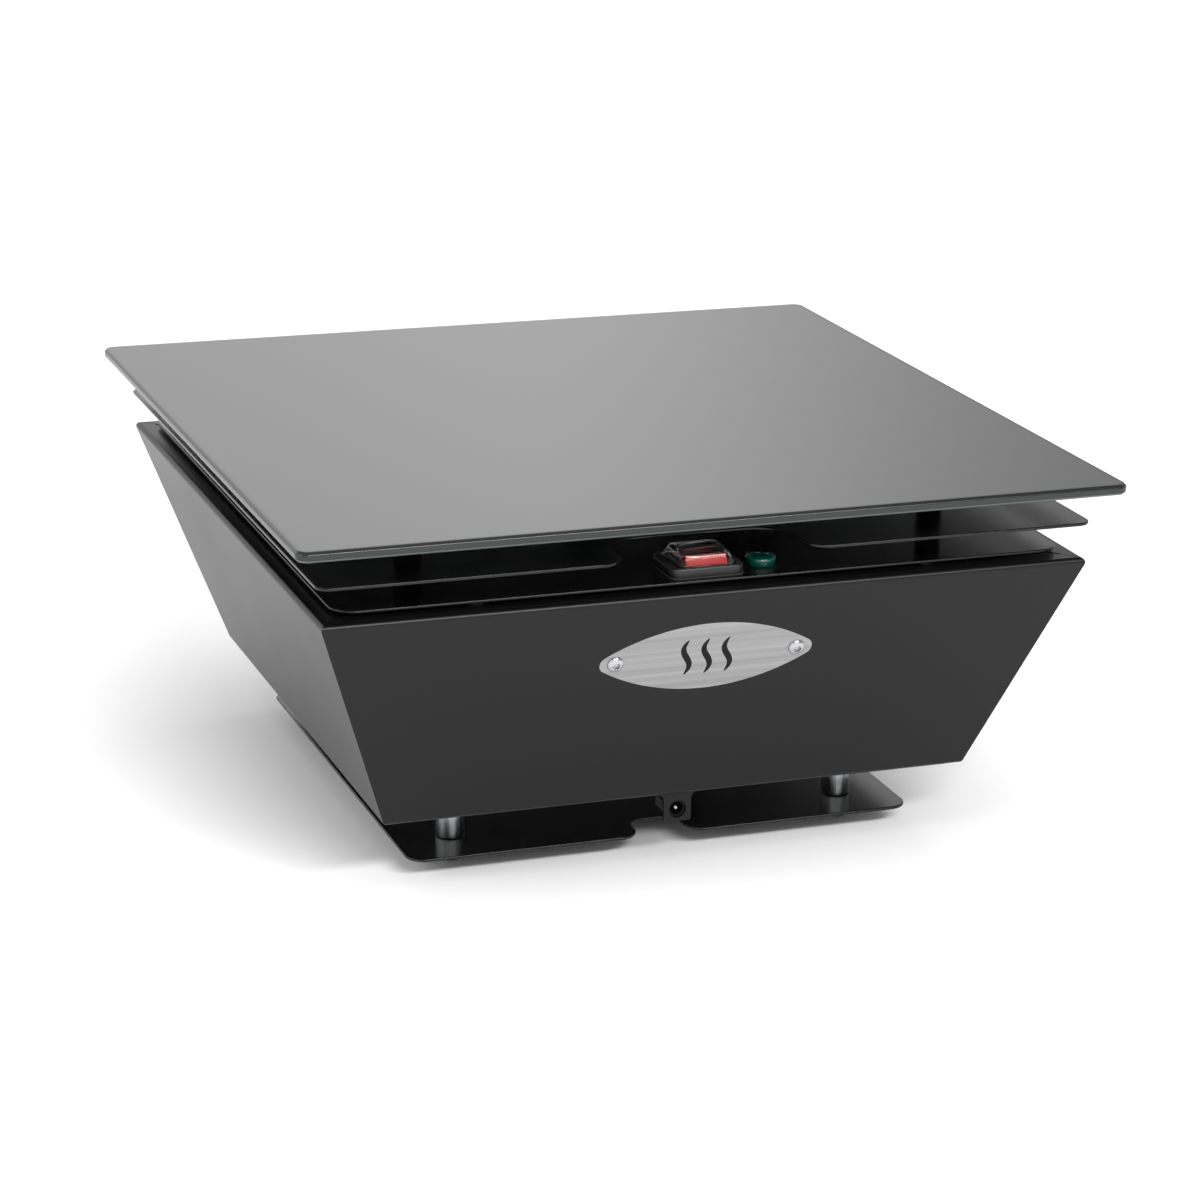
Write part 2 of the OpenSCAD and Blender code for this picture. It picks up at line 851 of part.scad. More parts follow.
module plunger_spring() {
    wire_d = 0.4;
    turns = 4;
    low = plunger_r - plunger_reach + 6 + wire_d / 2;
    high = -pin_r - 0.8 - wire_d / 2;
    steps = turns * 14;
    coil = [
        for (i = [0:steps])
            let (a = 360 * turns * i / steps)
            [1.1 * cos(a), 1.1 * sin(a), low + (high - low) * i / steps]
    ];
    color("silver")
        at_pivot() rotate([-rocker_tilt, 0, 0]) tube(coil, wire_d, [0, 0, 1], 6);
}

// See-saw contact that the plunger tips over its knife edge
module contact_lever() {
    color("gold")
        at_pivot()
            translate([0, 0, -lever_drop])
                rotate([lever_tilt, 0, 0]) {
                    translate([-2.5, -lever_half, 0]) cube([5, 2 * lever_half, lever_t]);
                    for (s = [-1, 1])
                        translate([0, s * contact_y, -contact_h]) cylinder(r = 1.5, h = contact_h);
                }
}

module switch_terminals() {
    floor_z = 2 - housing_depth;
    tail = [-terminal_w / 2, -terminal_t / 2, -terminal_reach];
    contact_top = -lever_drop - contact_y * sin(lever_tilt) - contact_h * cos(lever_tilt) - contact_gap;
    color("gold")
        at_pivot() {
            // Knife edge in the middle
            translate(tail) cube([terminal_w, terminal_t, terminal_reach - lever_drop - contact_gap]);
            // Fixed contacts at the front and back
            for (s = [-1, 1]) {
                translate([0, s * contact_y, 0]) translate(tail)
                    cube([terminal_w, terminal_t, terminal_reach + contact_top - contact_h]);
                translate([0, s * contact_y, contact_top - contact_h - 0.01])
                    cylinder(r = 1.5, h = contact_h + 0.01);
            }
            // Shoulders that rest on the floor of the housing
            for (s = [-1, 0, 1])
                translate([-terminal_w / 2 - 1, s * contact_y - terminal_t / 2, floor_z])
                    cube([terminal_w + 2, terminal_t, 1.2]);
        }
}

// ---- Indicator ----

module lamp_lens() {
    color("green")
        translate(lamp_at)
            difference() {
                union() {
                    cylinder(r = lens_r, h = lens_h - 0.8);
                    translate([0, 0, lens_h - 0.8]) cylinder(r1 = lens_r, r2 = lens_r - 0.8, h = 0.8);
                }
                translate([0, 0, -over]) cylinder(r = lamp_barrel_r, h = lens_h - 1.2 + over);
            }
}

module lamp_body() {
    color("black")
        translate(lamp_at)
            difference() {
                translate([0, 0, -16]) cylinder(r = lamp_barrel_r, h = 16 + lens_h - 1.6);
                translate([0, 0, -12]) cylinder(r = 3.2, h = 20);
                for (s = [-1, 1]) translate([s * 1.3, 0, -17]) cylinder(r = 0.4, h = 6);
            }
}

module lamp_nut() {
    color("black")
        translate([lamp_at.x, lamp_at.y, z_cover - 3]) hex_nut(lamp_barrel_r, 8, 3);
}

module lamp_led() {
    color("palegreen")
        translate(lamp_at) {
            translate([0, 0, -12]) cylinder(r = 3, h = 1);
            translate([0, 0, -11]) cylinder(r = 2.5, h = 6);
            translate([0, 0, -5]) sphere(2.5);
            for (s = [-1, 1]) translate([s * 1.3, 0, -20]) cylinder(r = 0.3, h = 8);
        }
}

// ---- Badge ----

// Pointed oval with round tips: two wide arcs that meet a small circle at each end
module badge_outline() {
    tip_x = badge_w / 2 - badge_tip_r;
    half_h = badge_h / 2;
    // Radius at which both wide arcs touch the tip circles
    arc_r = (tip_x * tip_x / (half_h - badge_tip_r) + half_h + badge_tip_r) / 2;
    touch = atan2(arc_r - half_h, tip_x);
    right = concat(
        arc([0, arc_r - half_h], arc_r, -90, -touch, 28),
        arc([tip_x, 0], badge_tip_r, 4 - touch, touch - 4, 16),
        arc([0, half_h - arc_r], arc_r, touch, 90, 28)
    );
    polygon(concat(right, mirrored(right)));
}

module badge() {
    color("silver")
        on_front_wall(badge_drop)
            linear_extrude(badge_t)
                difference() {
                    badge_outline();
                    for (s = [-1, 1]) translate([s * badge_pitch / 2, 0]) circle(small_screw_r + hole_slip);
                }
}

module badge_screws() {
    color("silver")
        on_front_wall(badge_drop)
            for (s = [-1, 1])
                translate([s * badge_pitch / 2, 0, badge_t])
                    mirror([0, 0, 1]) button_screw(small_screw_r, badge_t + case_t + 5, 4, 2.1);
}

module badge_nuts() {
    color("silver")
        on_front_wall(badge_drop)
            for (s = [-1, 1])
                translate([s * badge_pitch / 2, 0, -case_t - 2.4]) hex_nut(small_screw_r, 3.2, 2.4);
}

// ---- Inlet ----

// Children in the inlet's frame: +Z runs out of the socket, towards the front
module at_inlet() {
    translate([0, tab_y + case_t, inlet_z]) rotate([90, 0, 0]) children();
}

module inlet_jack() {
    color("black")
        at_inlet()
            difference() {
                translate([-jack_w / 2, -jack_h / 2, -jack_d]) cube([jack_w, jack_h, jack_d]);
                translate([0, 0, -socket_depth]) cylinder(r = socket_r, h = socket_depth + over);
                translate([0, 0, -jack_d - over]) cylinder(r = inlet_pin_r, h = jack_d + over);
                translate([-1.6, socket_r - 0.4, -socket_depth]) cube([3.2, 1.2, socket_depth - 1.5]);
            }
}

module inlet_pin() {
    color("silver")
        at_inlet() {
            translate([0, 0, -jack_d - 3]) cylinder(r = inlet_pin_r, h = jack_d + 1.8);
            translate([0, 0, -1.2]) cylinder(r1 = inlet_pin_r, r2 = inlet_pin_r - 0.4, h = 0.4);
        }
}

// Sprung leaf that presses on the plug's sleeve, in its groove over the socket
module inlet_contact() {
    color("silver")
        at_inlet()
            translate([-1.3, socket_r - 0.2, 0.2 - socket_depth]) cube([2.6, 0.6, socket_depth - 2]);
}

// Sheet clip that wraps the jack and is welded to the back of the tab
module inlet_clip() {
    clip_t = 0.8;
    color("silver")
        at_inlet()
            difference() {
                translate([-jack_w / 2 - clip_t, -2.5, -jack_d - clip_t])
                    cube([jack_w + 2 * clip_t, 5, jack_d + clip_t]);
                translate([-jack_w / 2, -2.5 - over, -jack_d])
                    cube([jack_w, 5 + 2 * over, jack_d + over]);
                translate([0, 0, -jack_d - clip_t - over])
                    cylinder(r = inlet_pin_r + 0.6, h = clip_t + 2 * over);
            }
}

// Two leads from the jack up through the hole in the panel to the board
module inlet_leads() {
    y_hole = 10 - bottom_opening_half;
    y_tail = tab_y + case_t + jack_d + 4;
    color("crimson")
        for (s = [-1, 1])
            tube(smooth_line([
                [1.4 * s, y_tail, inlet_z + 2 * s], [2 * s, (y_tail + y_hole) / 2, inlet_z + 1.5],
                [2.2 * s, y_hole, z_panel - 1], [2.2 * s, y_hole, z_body + 6],
                [inlet_port.x / 2 + 4 * s, (y_hole + inlet_port.y) / 2, z_body + 24],
                [inlet_port.x + 4 * s, inlet_port.y, z_board_top + port_h + 8],
                [inlet_port.x + 4 * s, inlet_port.y, z_board_top + port_h]
            ], 6), signal_lead_d, [1, 0, 0]);
}

// ---- Rechargeable pack ----

module at_cells() {
    for (i = [0:cell_columns - 1])
        for (j = [0:cell_rows - 1])
            translate([
                (i - (cell_columns - 1) / 2) * cell_pitch,
                pack_y + (j - (cell_rows - 1) / 2) * cell_pitch,
                z_cells
            ]) children();
}

// Open tray that stands on the bottom panel and keeps the pack from sliding
module battery_tray() {
    wall_h = 14;
    color("gray")
        translate([0, pack_y, z_body])
            difference() {
                linear_extrude(wall_h)
                    rounded_rect(pack_w + 2 * tray_t + 1, pack_d + 2 * tray_t + 1, 3);
                translate([0, 0, tray_t])
                    linear_extrude(wall_h) rounded_rect(pack_w + 1, pack_d + 1, 2);
            }
}

module battery_cells() {
    color("teal") at_cells() cylinder(r = cell_r, h = cell_h, $fn = 32);
}

// Plates that take the cells' ends, one below and one above
module cell_holders() {
    color("dimgray")
        for (z = [z_body + tray_t, z_cells + cell_h - holder_t / 2])
            difference() {
                translate([0, pack_y, z]) linear_extrude(holder_t) rounded_rect(pack_w, pack_d, 3);
                at_cells() cylinder(r = cell_r, h = cell_h, $fn = 32);
            }
}

// Nickel strips across the tops of the cells, one per row
module cell_links() {
    length = (cell_columns - 1) * cell_pitch + 8;
    color("silver")
        for (j = [0:cell_rows - 1])
            translate([-length / 2, pack_y + (j - (cell_rows - 1) / 2) * cell_pitch - 4,
                z_cells + cell_h + holder_t / 2])
                cube([length, 8, 0.3]);
}

// Two straps over the pack, down to feet on the bottom panel beside the tray
module battery_straps() {
    strap_w = 16;
    strap_t = 1;
    inner_d = pack_d + 2 * tray_t + 2;
    inner_h = tray_t + holder_t + cell_h + 0.6;
    color("silver")
        for (s = [-1, 1])
            translate([s * pack_w / 4 - strap_w / 2, pack_y, z_body])
                difference() {
                    union() {
                        translate([0, -inner_d / 2 - strap_t, 0])
                            cube([strap_w, inner_d + 2 * strap_t, inner_h + strap_t]);
                        translate([0, -inner_d / 2 - strap_t - 8, 0])
                            cube([strap_w, inner_d + 2 * strap_t + 16, strap_t]);
                    }
                    translate([-over, -inner_d / 2, -over])
                        cube([strap_w + 2 * over, inner_d, inner_h + over]);
                }
}

module battery_leads() {
    y_front = pack_y - pack_d / 2;
    z_top = z_cells + cell_h + holder_t / 2 + 2;
    color("firebrick")
        for (s = [-1, 1])
            tube(smooth_line([
                [6 * s, y_front + 12, z_top], [6 * s, y_front, z_top + 2],
                [5 * s, y_front - 10, z_top - 14], [4 * s, y_front - 13, z_body + 40],
                [4 * s, pack_port.y + 2, z_board_top + port_h + 8],
                [4 * s, pack_port.y, z_board_top + port_h]
            ], 6), power_lead_d, [1, 0, 0]);
}

// ---- Control board ----

module at_board_corners() {
    for (c = corners)
        translate([c.x * (board_w / 2 - 5), board_y + c.y * (board_d / 2 - 5)]) children();
}

module control_board() {
    color("green")
        translate([0, 0, z_board])
            linear_extrude(board_t)
                difference() {
                    translate([0, board_y]) rounded_rect(board_w, board_d, 2);
                    at_board_corners() circle(small_screw_r + hole_slip);
                }
}

// Screw terminal for the leads that end at a point on the board
module terminal_block(at, w) {
    translate([at.x - w / 2, at.y - 4.5, 0]) cube([w, 9, port_h]);
}

// Screw terminals, capacitors, a relay, the power chip, and a fuse in its clips
module board_parts() {
    fuse_at = [-51, board_y - 23, 5];
    fuse_length = 22;
    color("royalblue")
        translate([0, 0, z_board_top]) {
            terminal_block(heater_port, 14);
            terminal_block(sensor_port, 10);
            terminal_block(inlet_port, 14);
            terminal_block(pack_port, 18);
            terminal_block(switch_port, 14);
            terminal_block(lamp_port, 9);
            for (i = [0:2]) translate([-40, board_y - 12 + i * 14, 0]) cylinder(r = 5, h = 22);
            translate([-30, board_y - 8, 0]) cube([20, 15, 16]);
            translate([13, board_y + 1, 0]) cube([12, 12, heatsink_lift]);
            translate(fuse_at) rotate([0, 90, 0]) cylinder(r = 3, h = fuse_length);
            for (x = [0, fuse_length - 4])
                translate([fuse_at.x + x, fuse_at.y - 3.4, 0]) cube([4, 6.8, fuse_at.z + 0.2]);
        }
}

// Finned block that cools the heater's power stage
module board_heatsink() {
    fins = 7;
    pitch = 3.4;
    fin_gap = 1.9;
    color("silver")
        translate([8, board_y - 2, z_board_top + heatsink_lift]) {
            cube([fins * pitch - fin_gap, 18, 2]);
            for (i = [0:fins - 1]) translate([i * pitch, 0, 0]) cube([pitch - fin_gap, 18, 20]);
        }
}

module board_spacers() {
    color("gold")
        at_board_corners()
            translate([0, 0, z_body]) tube_post(3, small_screw_r, board_lift);
}

// A screw into each end of every board spacer
module board_screws() {
    color("silver")
        at_board_corners() {
            translate([0, 0, z_board_top]) mirror([0, 0, 1])
                button_screw(small_screw_r, board_t + 2.8, 2.8, 1.7);
            translate([0, 0, z_panel]) button_screw(small_screw_r, case_t + 2.8, 2.8, 1.7);
        }
}

module switch_leads() {
    z_tail = switch_pivot.z - terminal_reach;
    color("dimgray")
        for (s = [0, 1]) {
            x = switch_port.x - 5 * s + 2.5;
            tube(smooth_line([
                [0, switch_y + s * contact_y, z_tail], [0, switch_y + s * contact_y, z_tail - 10],
                [x / 2, switch_y + 26, z_body + 52], [x, switch_port.y - 6, z_board_top + port_h + 14],
                [x, switch_port.y, z_board_top + port_h + 8], [x, switch_port.y, z_board_top + port_h]
            ], 6), 2, [1, 0, 0]);
        }
}

module lamp_leads() {
    color("dimgray")
        for (s = [-1, 1])
            tube(smooth_line([
                [lamp_at.x + 1.3 * s, lamp_at.y, z_cover_top - 20],
                [lamp_at.x + 1.3 * s, lamp_at.y + 1, z_cover_top - 30],
                [(lamp_at.x + lamp_port.x) / 2 + 2 * s, switch_y + 40, z_body + 50],
                [lamp_port.x + 2 * s, lamp_port.y - 3, z_board_top + port_h + 14],
                [lamp_port.x + 2 * s, lamp_port.y, z_board_top + port_h + 8],
                [lamp_port.x + 2 * s, lamp_port.y, z_board_top + port_h]
            ], 6), 1.2, [1, 0, 0]);
}

glass_plate();
heater_mat();
spreader_plate();
stack_studs();
thermal_cutout();
heater_leads();
sensor_leads();
upper_spacers();
middle_plate();
lower_spacers();
cover_plate();
stack_nuts();
lead_grommets();
cover_studs();
cover_washers();
cover_nuts();
body_shell();
bottom_panel();
panel_screws();
panel_nuts();
posts();
post_screws();
base_plate();
feet();
foot_screws();
switch_housing();
switch_gasket();
splash_cover();
rocker();
rocker_pin();
plunger();
plunger_spring();
contact_lever();
switch_terminals();
lamp_lens();
lamp_body();
lamp_nut();
lamp_led();
badge();
badge_screws();
badge_nuts();
inlet_jack();
inlet_pin();
inlet_contact();
inlet_clip();
inlet_leads();
battery_tray();
battery_cells();
cell_holders();
cell_links();
battery_straps();
battery_leads();
control_board();
board_parts();
board_heatsink();
board_spacers();
board_screws();
switch_leads();
lamp_leads();
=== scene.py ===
# Square warming base: a black glass hot plate over two thin sheets, a tapered case on
# four posts, and a base sheet on rubber feet. Metres, with the front facing -Y.
import math

import bmesh
import bpy
import numpy as np
from mathutils import Matrix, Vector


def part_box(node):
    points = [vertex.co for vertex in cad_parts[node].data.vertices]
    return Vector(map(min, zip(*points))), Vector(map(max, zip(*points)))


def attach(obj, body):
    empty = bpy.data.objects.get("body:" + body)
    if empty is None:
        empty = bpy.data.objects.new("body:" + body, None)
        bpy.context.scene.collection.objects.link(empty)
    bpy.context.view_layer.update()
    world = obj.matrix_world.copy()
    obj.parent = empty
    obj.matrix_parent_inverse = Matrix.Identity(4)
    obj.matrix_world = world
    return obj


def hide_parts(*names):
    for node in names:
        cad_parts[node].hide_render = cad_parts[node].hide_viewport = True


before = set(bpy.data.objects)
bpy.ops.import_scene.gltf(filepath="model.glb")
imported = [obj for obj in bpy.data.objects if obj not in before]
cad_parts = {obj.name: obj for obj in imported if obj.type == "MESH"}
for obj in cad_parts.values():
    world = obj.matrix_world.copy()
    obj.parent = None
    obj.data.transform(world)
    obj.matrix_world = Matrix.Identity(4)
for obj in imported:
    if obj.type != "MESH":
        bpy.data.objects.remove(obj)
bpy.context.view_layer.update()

mm = 0.001

# ---------------------------------------------------------------- Camera
# Eye height of someone seated across the table, a long lens, turned a little to the
# left of the front and looking slightly down.
view_turn = math.radians(-19.89)
view_fall = math.radians(17.36)
view_roll = math.radians(1.0)
back = np.array([
    math.sin(view_turn) * math.cos(view_fall),
    -math.cos(view_turn) * math.cos(view_fall),
    math.sin(view_fall),
])
level = np.cross([0, 0, 1], back)
level = level / np.linalg.norm(level)
upright = np.cross(back, level)
right = math.cos(view_roll) * level + math.sin(view_roll) * upright
above = math.cos(view_roll) * upright - math.sin(view_roll) * level

camera = bpy.data.objects.new("camera", bpy.data.cameras.new("camera"))
camera.data.sensor_width = 36
camera.data.lens = 106.4
camera.data.clip_end = 50
turned = Matrix(np.stack([right, above, back], axis=1).tolist()).to_4x4()
camera.matrix_world = Matrix.Translation((-0.5734, -1.6138, 0.6251)) @ turned
bpy.context.scene.collection.objects.link(camera)
bpy.context.scene.camera = camera

# ---------------------------------------------------------------- Floor and studio light
# A wide white table top in a white room, brightest near the horizon so that the glass
# has something pale to mirror, under a soft sky panel and two soft boxes.
floor_half = 14
floor_mesh = bpy.data.meshes.new("floor")
floor_mesh.from_pydata(
    [(-floor_half, -floor_half, 0), (floor_half, -floor_half, 0),
     (floor_half, floor_half, 0), (-floor_half, floor_half, 0)], [], [(0, 1, 2, 3)])
floor = bpy.data.objects.new("floor", floor_mesh)
bpy.context.scene.collection.objects.link(floor)

floor_paint = bpy.data.materials.new("floor_paint")
floor_paint.use_nodes = True
floor_shader = floor_paint.node_tree.nodes["Principled BSDF"]
floor_shader.inputs["Base Color"].default_value = (0.92, 0.92, 0.92, 1)
floor_shader.inputs["Roughness"].default_value = 0.9
floor_mesh.materials.append(floor_paint)

room = bpy.data.worlds.new("room")
bpy.context.scene.world = room
room.use_nodes = True
room_nodes, room_link = room.node_tree.nodes, room.node_tree.links.new
room_place = room_nodes.new("ShaderNodeTexCoord")
room_axis = room_nodes.new("ShaderNodeSeparateXYZ")
room_link(room_place.outputs["Generated"], room_axis.inputs[0])


def room_ramp(axis, start, end, low, high, before=None):
    """Brightness that goes from `low` to `high` as one axis of the direction goes from start to end,
    multiplied by the ramp `before` it."""
    ramp = room_nodes.new("ShaderNodeMapRange")
    ramp.interpolation_type = "SMOOTHSTEP"
    for label, value in (("From Min", start), ("From Max", end), ("To Min", low), ("To Max", high)):
        ramp.inputs[label].default_value = value
    room_link(room_axis.outputs[axis], ramp.inputs["Value"])
    if before is None:
        return ramp.outputs["Result"]
    product = room_nodes.new("ShaderNodeMath")
    product.operation = "MULTIPLY"
    room_link(before, product.inputs[0])
    room_link(ramp.outputs["Result"], product.inputs[1])
    return product.outputs[0]


room_light = room_ramp("Z", 0.33, 0.8, 1.48, 0.45)
room_light = room_ramp("Z", 0.17, 0.3, 0.8, 1.0, room_light)
room_light = room_ramp("X", 0.18, 0.34, 0.88, 1.0, room_light)
room_light = room_ramp("X", 0.3, 0.5, 1.0, 0.4, room_light)
room_link(room_light, room_nodes["Background"].inputs["Strength"])
room_nodes["Background"].inputs["Color"].default_value = (1, 1, 1, 1)


def soft_box(name, place, aim, width, height, watts):
    """Area light at `place`, turned so that it shines towards the point `aim`."""
    lamp = bpy.data.lights.new(name, "AREA")
    lamp.shape = "RECTANGLE"
    lamp.size = width
    lamp.size_y = height
    lamp.energy = watts
    box = bpy.data.objects.new(name, lamp)
    bpy.context.scene.collection.objects.link(box)
    away = np.array(place, float) - np.array(aim, float)
    away = away / np.linalg.norm(away)
    side = np.cross([0, 0, 1], away)
    side = side / np.linalg.norm(side)
    box.matrix_world = (Matrix.Translation(place)
                        @ Matrix(np.stack([side, np.cross(away, side), away], axis=1).tolist()).to_4x4())


soft_box("left_box", (-2.6, -0.6, 1.5), (0, 0, 0.1), 1.6, 1.0, 18)
soft_box("front_box", (0.3, -2.4, 1.8), (0, 0, 0.1), 2.0, 0.35, 75)
sky = bpy.data.lights.new("sky_panel", "SUN")
sky.energy = 1.6
sky.angle = math.radians(60)
sky_panel = bpy.data.objects.new("sky_panel", sky)
sky_panel.visible_glossy = False
bpy.context.scene.collection.objects.link(sky_panel)
bpy.context.scene.view_settings.view_transform = "Standard"

# ---------------------------------------------------------------- Glass hot plate
# One sheet of tempered glass, black enamelled on its back, with its edges ground to a
# flat bevel and polished. It is bonded to the heating mat below.


def arc_path(arcs, step=4.0):
    """Closed outline through arcs (x, y, radius, from degrees, to degrees), joined by straight sides.
    Returns points and outward normals: a point is centre + radius (cos a, sin a), and its normal is
    (cos a, sin a) on an arc that turns left and the opposite on one that turns right."""
    points, normals = [], []
    for x, y, radius, start, end in arcs:
        a = np.radians(np.linspace(start, end, max(2, int(abs(end - start) / step) + 1)))
        ray = np.stack([np.cos(a), np.sin(a)], 1)
        points.append(np.array([x, y]) + radius * ray)
        normals.append(ray if end > start else -ray)
    points, normals = np.concatenate(points), np.concatenate(normals)
    apart = np.linalg.norm(points - np.roll(points, 1, axis=0), axis=1) > 1e-7
    return points[apart], normals[apart]


def round_square(half_x, half_y, radius, step=4.0):
    """Outline of a rectangle with four quarter circles of `radius` at its corners."""
    cx, cy = half_x - radius, half_y - radius
    return arc_path([(cx, -cy, radius, -90, 0), (cx, cy, radius, 0, 90),
                     (-cx, cy, radius, 90, 180), (-cx, -cy, radius, 180, 270)], step)


def loft(name, rings, closed=False):
    """Skin over rings of equal length: point j of ring i joins point j of ring i + 1. An open
    stack has its first and last ring filled, and a closed one joins its last ring to its first."""
    rings = np.asarray(rings, float)
    count, around = rings.shape[:2]
    i, j = np.meshgrid(np.arange(count if closed else count - 1), np.arange(around), indexing="ij")
    k, n = (j + 1) % around, (i + 1) % count
    quads = np.stack([i * around + j, i * around + k, n * around + k, n * around + j], -1)
    faces = quads.reshape(-1, 4).tolist()
    if not closed:
        faces.append(list(range(around))[::-1])
        faces.append(list(range((count - 1) * around, count * around)))
    mesh = bpy.data.meshes.new(name)
    mesh.from_pydata(rings.reshape(-1, 3).tolist(), [], faces)
    mesh.update()
    mesh.shade_smooth()
    piece = bpy.data.objects.new(name, mesh)
    bpy.context.scene.collection.objects.link(piece)
    return piece


def carried(outline, profile):
    """Rings of an outline carried along a profile of (pull in, height) pairs: every point moves
    against its outward normal by the pull in."""
    points, normals = outline
    return [np.column_stack([points - pull * normals, np.full(len(points), z)]) for pull, z in profile]


def eased_edge(bottom, top, ease, steps=4):
    """Profile of a sheet with rounded edges: pull in ease (1 - cos a), height along ease sin a,
    with one more ring inside each edge to keep the faces flat."""
    a = np.radians(np.linspace(0, 90, steps + 1))
    low = [(ease * (1 - math.sin(t)), bottom + ease * (1 - math.cos(t))) for t in a]
    high = [(ease * (1 - math.cos(t)), top - ease * (1 - math.sin(t))) for t in a]
    return [(2 * ease, bottom)] + low + high + [(2 * ease, top)]


def node_group(name, inputs, outputs):
    """Empty shader group with named sockets, each given as (name, socket type, default)."""
    group = bpy.data.node_groups.new(name, "ShaderNodeTree")
    for label, kind, start in inputs:
        socket = group.interface.new_socket(name=label, in_out="INPUT", socket_type=kind)
        socket.default_value = start
    for label, kind in outputs:
        group.interface.new_socket(name=label, in_out="OUTPUT", socket_type=kind)
    return group, group.nodes.new("NodeGroupInput"), group.nodes.new("NodeGroupOutput")


# Mottle: a colour that drifts a little lighter and darker, a roughness that drifts with
# it, and a grain height, all from noise in the piece's own coordinates. A small stretch
# along one axis draws patches and grain out into lines along it.
mottle, m_in, m_out = node_group(
    "mottle",
    [("Colour", "NodeSocketColor", (0.5, 0.5, 0.5, 1)), ("Drift", "NodeSocketFloat", 0.2),
     ("Patch size", "NodeSocketFloat", 30.0), ("Roughness", "NodeSocketFloat", 0.4),
     ("Roughness drift", "NodeSocketFloat", 0.1), ("Grain size", "NodeSocketFloat", 900.0),
     ("Stretch", "NodeSocketVector", (1, 1, 1))],
    [("Colour", "NodeSocketColor"), ("Roughness", "NodeSocketFloat"), ("Grain", "NodeSocketFloat")])
m_nodes, m_link = mottle.nodes, mottle.links.new
m_place = m_nodes.new("ShaderNodeTexCoord")
m_scaled = m_nodes.new("ShaderNodeVectorMath")
m_scaled.operation = "MULTIPLY"
m_patch = m_nodes.new("ShaderNodeTexNoise")
m_patch.inputs["Detail"].default_value = 4
m_grain = m_nodes.new("ShaderNodeTexNoise")
m_grain.inputs["Detail"].default_value = 3
m_centre = m_nodes.new("ShaderNodeMath")
m_centre.operation = "SUBTRACT"
m_centre.inputs[1].default_value = 0.5
m_amount = m_nodes.new("ShaderNodeMath")
m_amount.operation = "MULTIPLY_ADD"
m_amount.inputs[2].default_value = 1.0
m_tint = m_nodes.new("ShaderNodeVectorMath")
m_tint.operation = "SCALE"
m_rough = m_nodes.new("ShaderNodeMath")
m_rough.operation = "MULTIPLY_ADD"
m_link(m_place.outputs["Object"], m_scaled.inputs[0])
m_link(m_in.outputs["Stretch"], m_scaled.inputs[1])
m_link(m_scaled.outputs[0], m_patch.inputs["Vector"])
m_link(m_in.outputs["Patch size"], m_patch.inputs["Scale"])
m_link(m_scaled.outputs[0], m_grain.inputs["Vector"])
m_link(m_in.outputs["Grain size"], m_grain.inputs["Scale"])
m_link(m_patch.outputs[0], m_centre.inputs[0])
m_link(m_centre.outputs[0], m_amount.inputs[0])
m_link(m_in.outputs["Drift"], m_amount.inputs[1])
m_link(m_in.outputs["Colour"], m_tint.inputs[0])
m_link(m_amount.outputs[0], m_tint.inputs["Scale"])
m_link(m_centre.outputs[0], m_rough.inputs[0])
m_link(m_in.outputs["Roughness drift"], m_rough.inputs[1])
m_link(m_in.outputs["Roughness"], m_rough.inputs[2])
m_link(m_tint.outputs[0], m_out.inputs["Colour"])
m_link(m_rough.outputs[0], m_out.inputs["Roughness"])
m_link(m_grain.outputs[0], m_out.inputs["Grain"])


def finish_of(name, colour, roughness, drift=0.2, rough_drift=0.1, patch=30, grain=900,
              stretch=(1, 1, 1), bump=0.05, depth=0.1, **shader_values):
    """Material whose colour, roughness and grain come from the mottle group. `bump` is the grain's
    strength and `depth` its height in millimetres; other values go straight to the shader's sockets."""
    paint = bpy.data.materials.new(name)
    paint.use_nodes = True
    nodes, link = paint.node_tree.nodes, paint.node_tree.links.new
    shader = nodes["Principled BSDF"]
    group = nodes.new("ShaderNodeGroup")
    group.node_tree = mottle
    group.inputs["Colour"].default_value = (*colour, 1)
    group.inputs["Drift"].default_value = drift
    group.inputs["Patch size"].default_value = patch
    group.inputs["Roughness"].default_value = roughness
    group.inputs["Roughness drift"].default_value = rough_drift
    group.inputs["Grain size"].default_value = grain
    group.inputs["Stretch"].default_value = stretch
    relief = nodes.new("ShaderNodeBump")
    relief.inputs["Strength"].default_value = bump
    relief.inputs["Distance"].default_value = depth * mm
    link(group.outputs["Colour"], shader.inputs["Base Color"])
    link(group.outputs["Roughness"], shader.inputs["Roughness"])
    link(group.outputs["Grain"], relief.inputs["Height"])
    link(relief.outputs["Normal"], shader.inputs["Normal"])
    for label, value in shader_values.items():
        shader.inputs[label.replace("_", " ")].default_value = value
    return paint


glass_low, glass_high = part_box("glass_plate")
glass_half = glass_high.x
glass_bevel = 1.2 * mm
glass_ease = 0.25 * mm
glass_outline = round_square(glass_half, glass_half, 6 * mm, step=3)
glass_profile = [
    (3 * glass_bevel, glass_low.z), (glass_bevel + glass_ease, glass_low.z),
    (glass_bevel - 0.2 * glass_ease, glass_low.z + 0.2 * glass_ease),
    (0.4 * glass_ease, glass_low.z + glass_bevel - 0.4 * glass_ease),
    (0, glass_low.z + glass_bevel + glass_ease),
    (0, glass_high.z - glass_bevel - glass_ease),
    (0.4 * glass_ease, glass_high.z - glass_bevel + 0.4 * glass_ease),
    (glass_bevel - 0.2 * glass_ease, glass_high.z - 0.2 * glass_ease),
    (glass_bevel + glass_ease, glass_high.z),
    (3 * glass_bevel, glass_high.z),
]
glass_top = loft("glass_top", carried(glass_outline, glass_profile))
black_glass = finish_of("black_glass", (0.012, 0.0125, 0.013), 0.05, drift=0.5, rough_drift=0.03,
                        patch=9, grain=60, bump=0.004, depth=0.05, IOR=1.52)
glass_edge = finish_of("glass_edge", (0.008, 0.0095, 0.009), 0.2, grain=500, bump=0.05, depth=0.05)
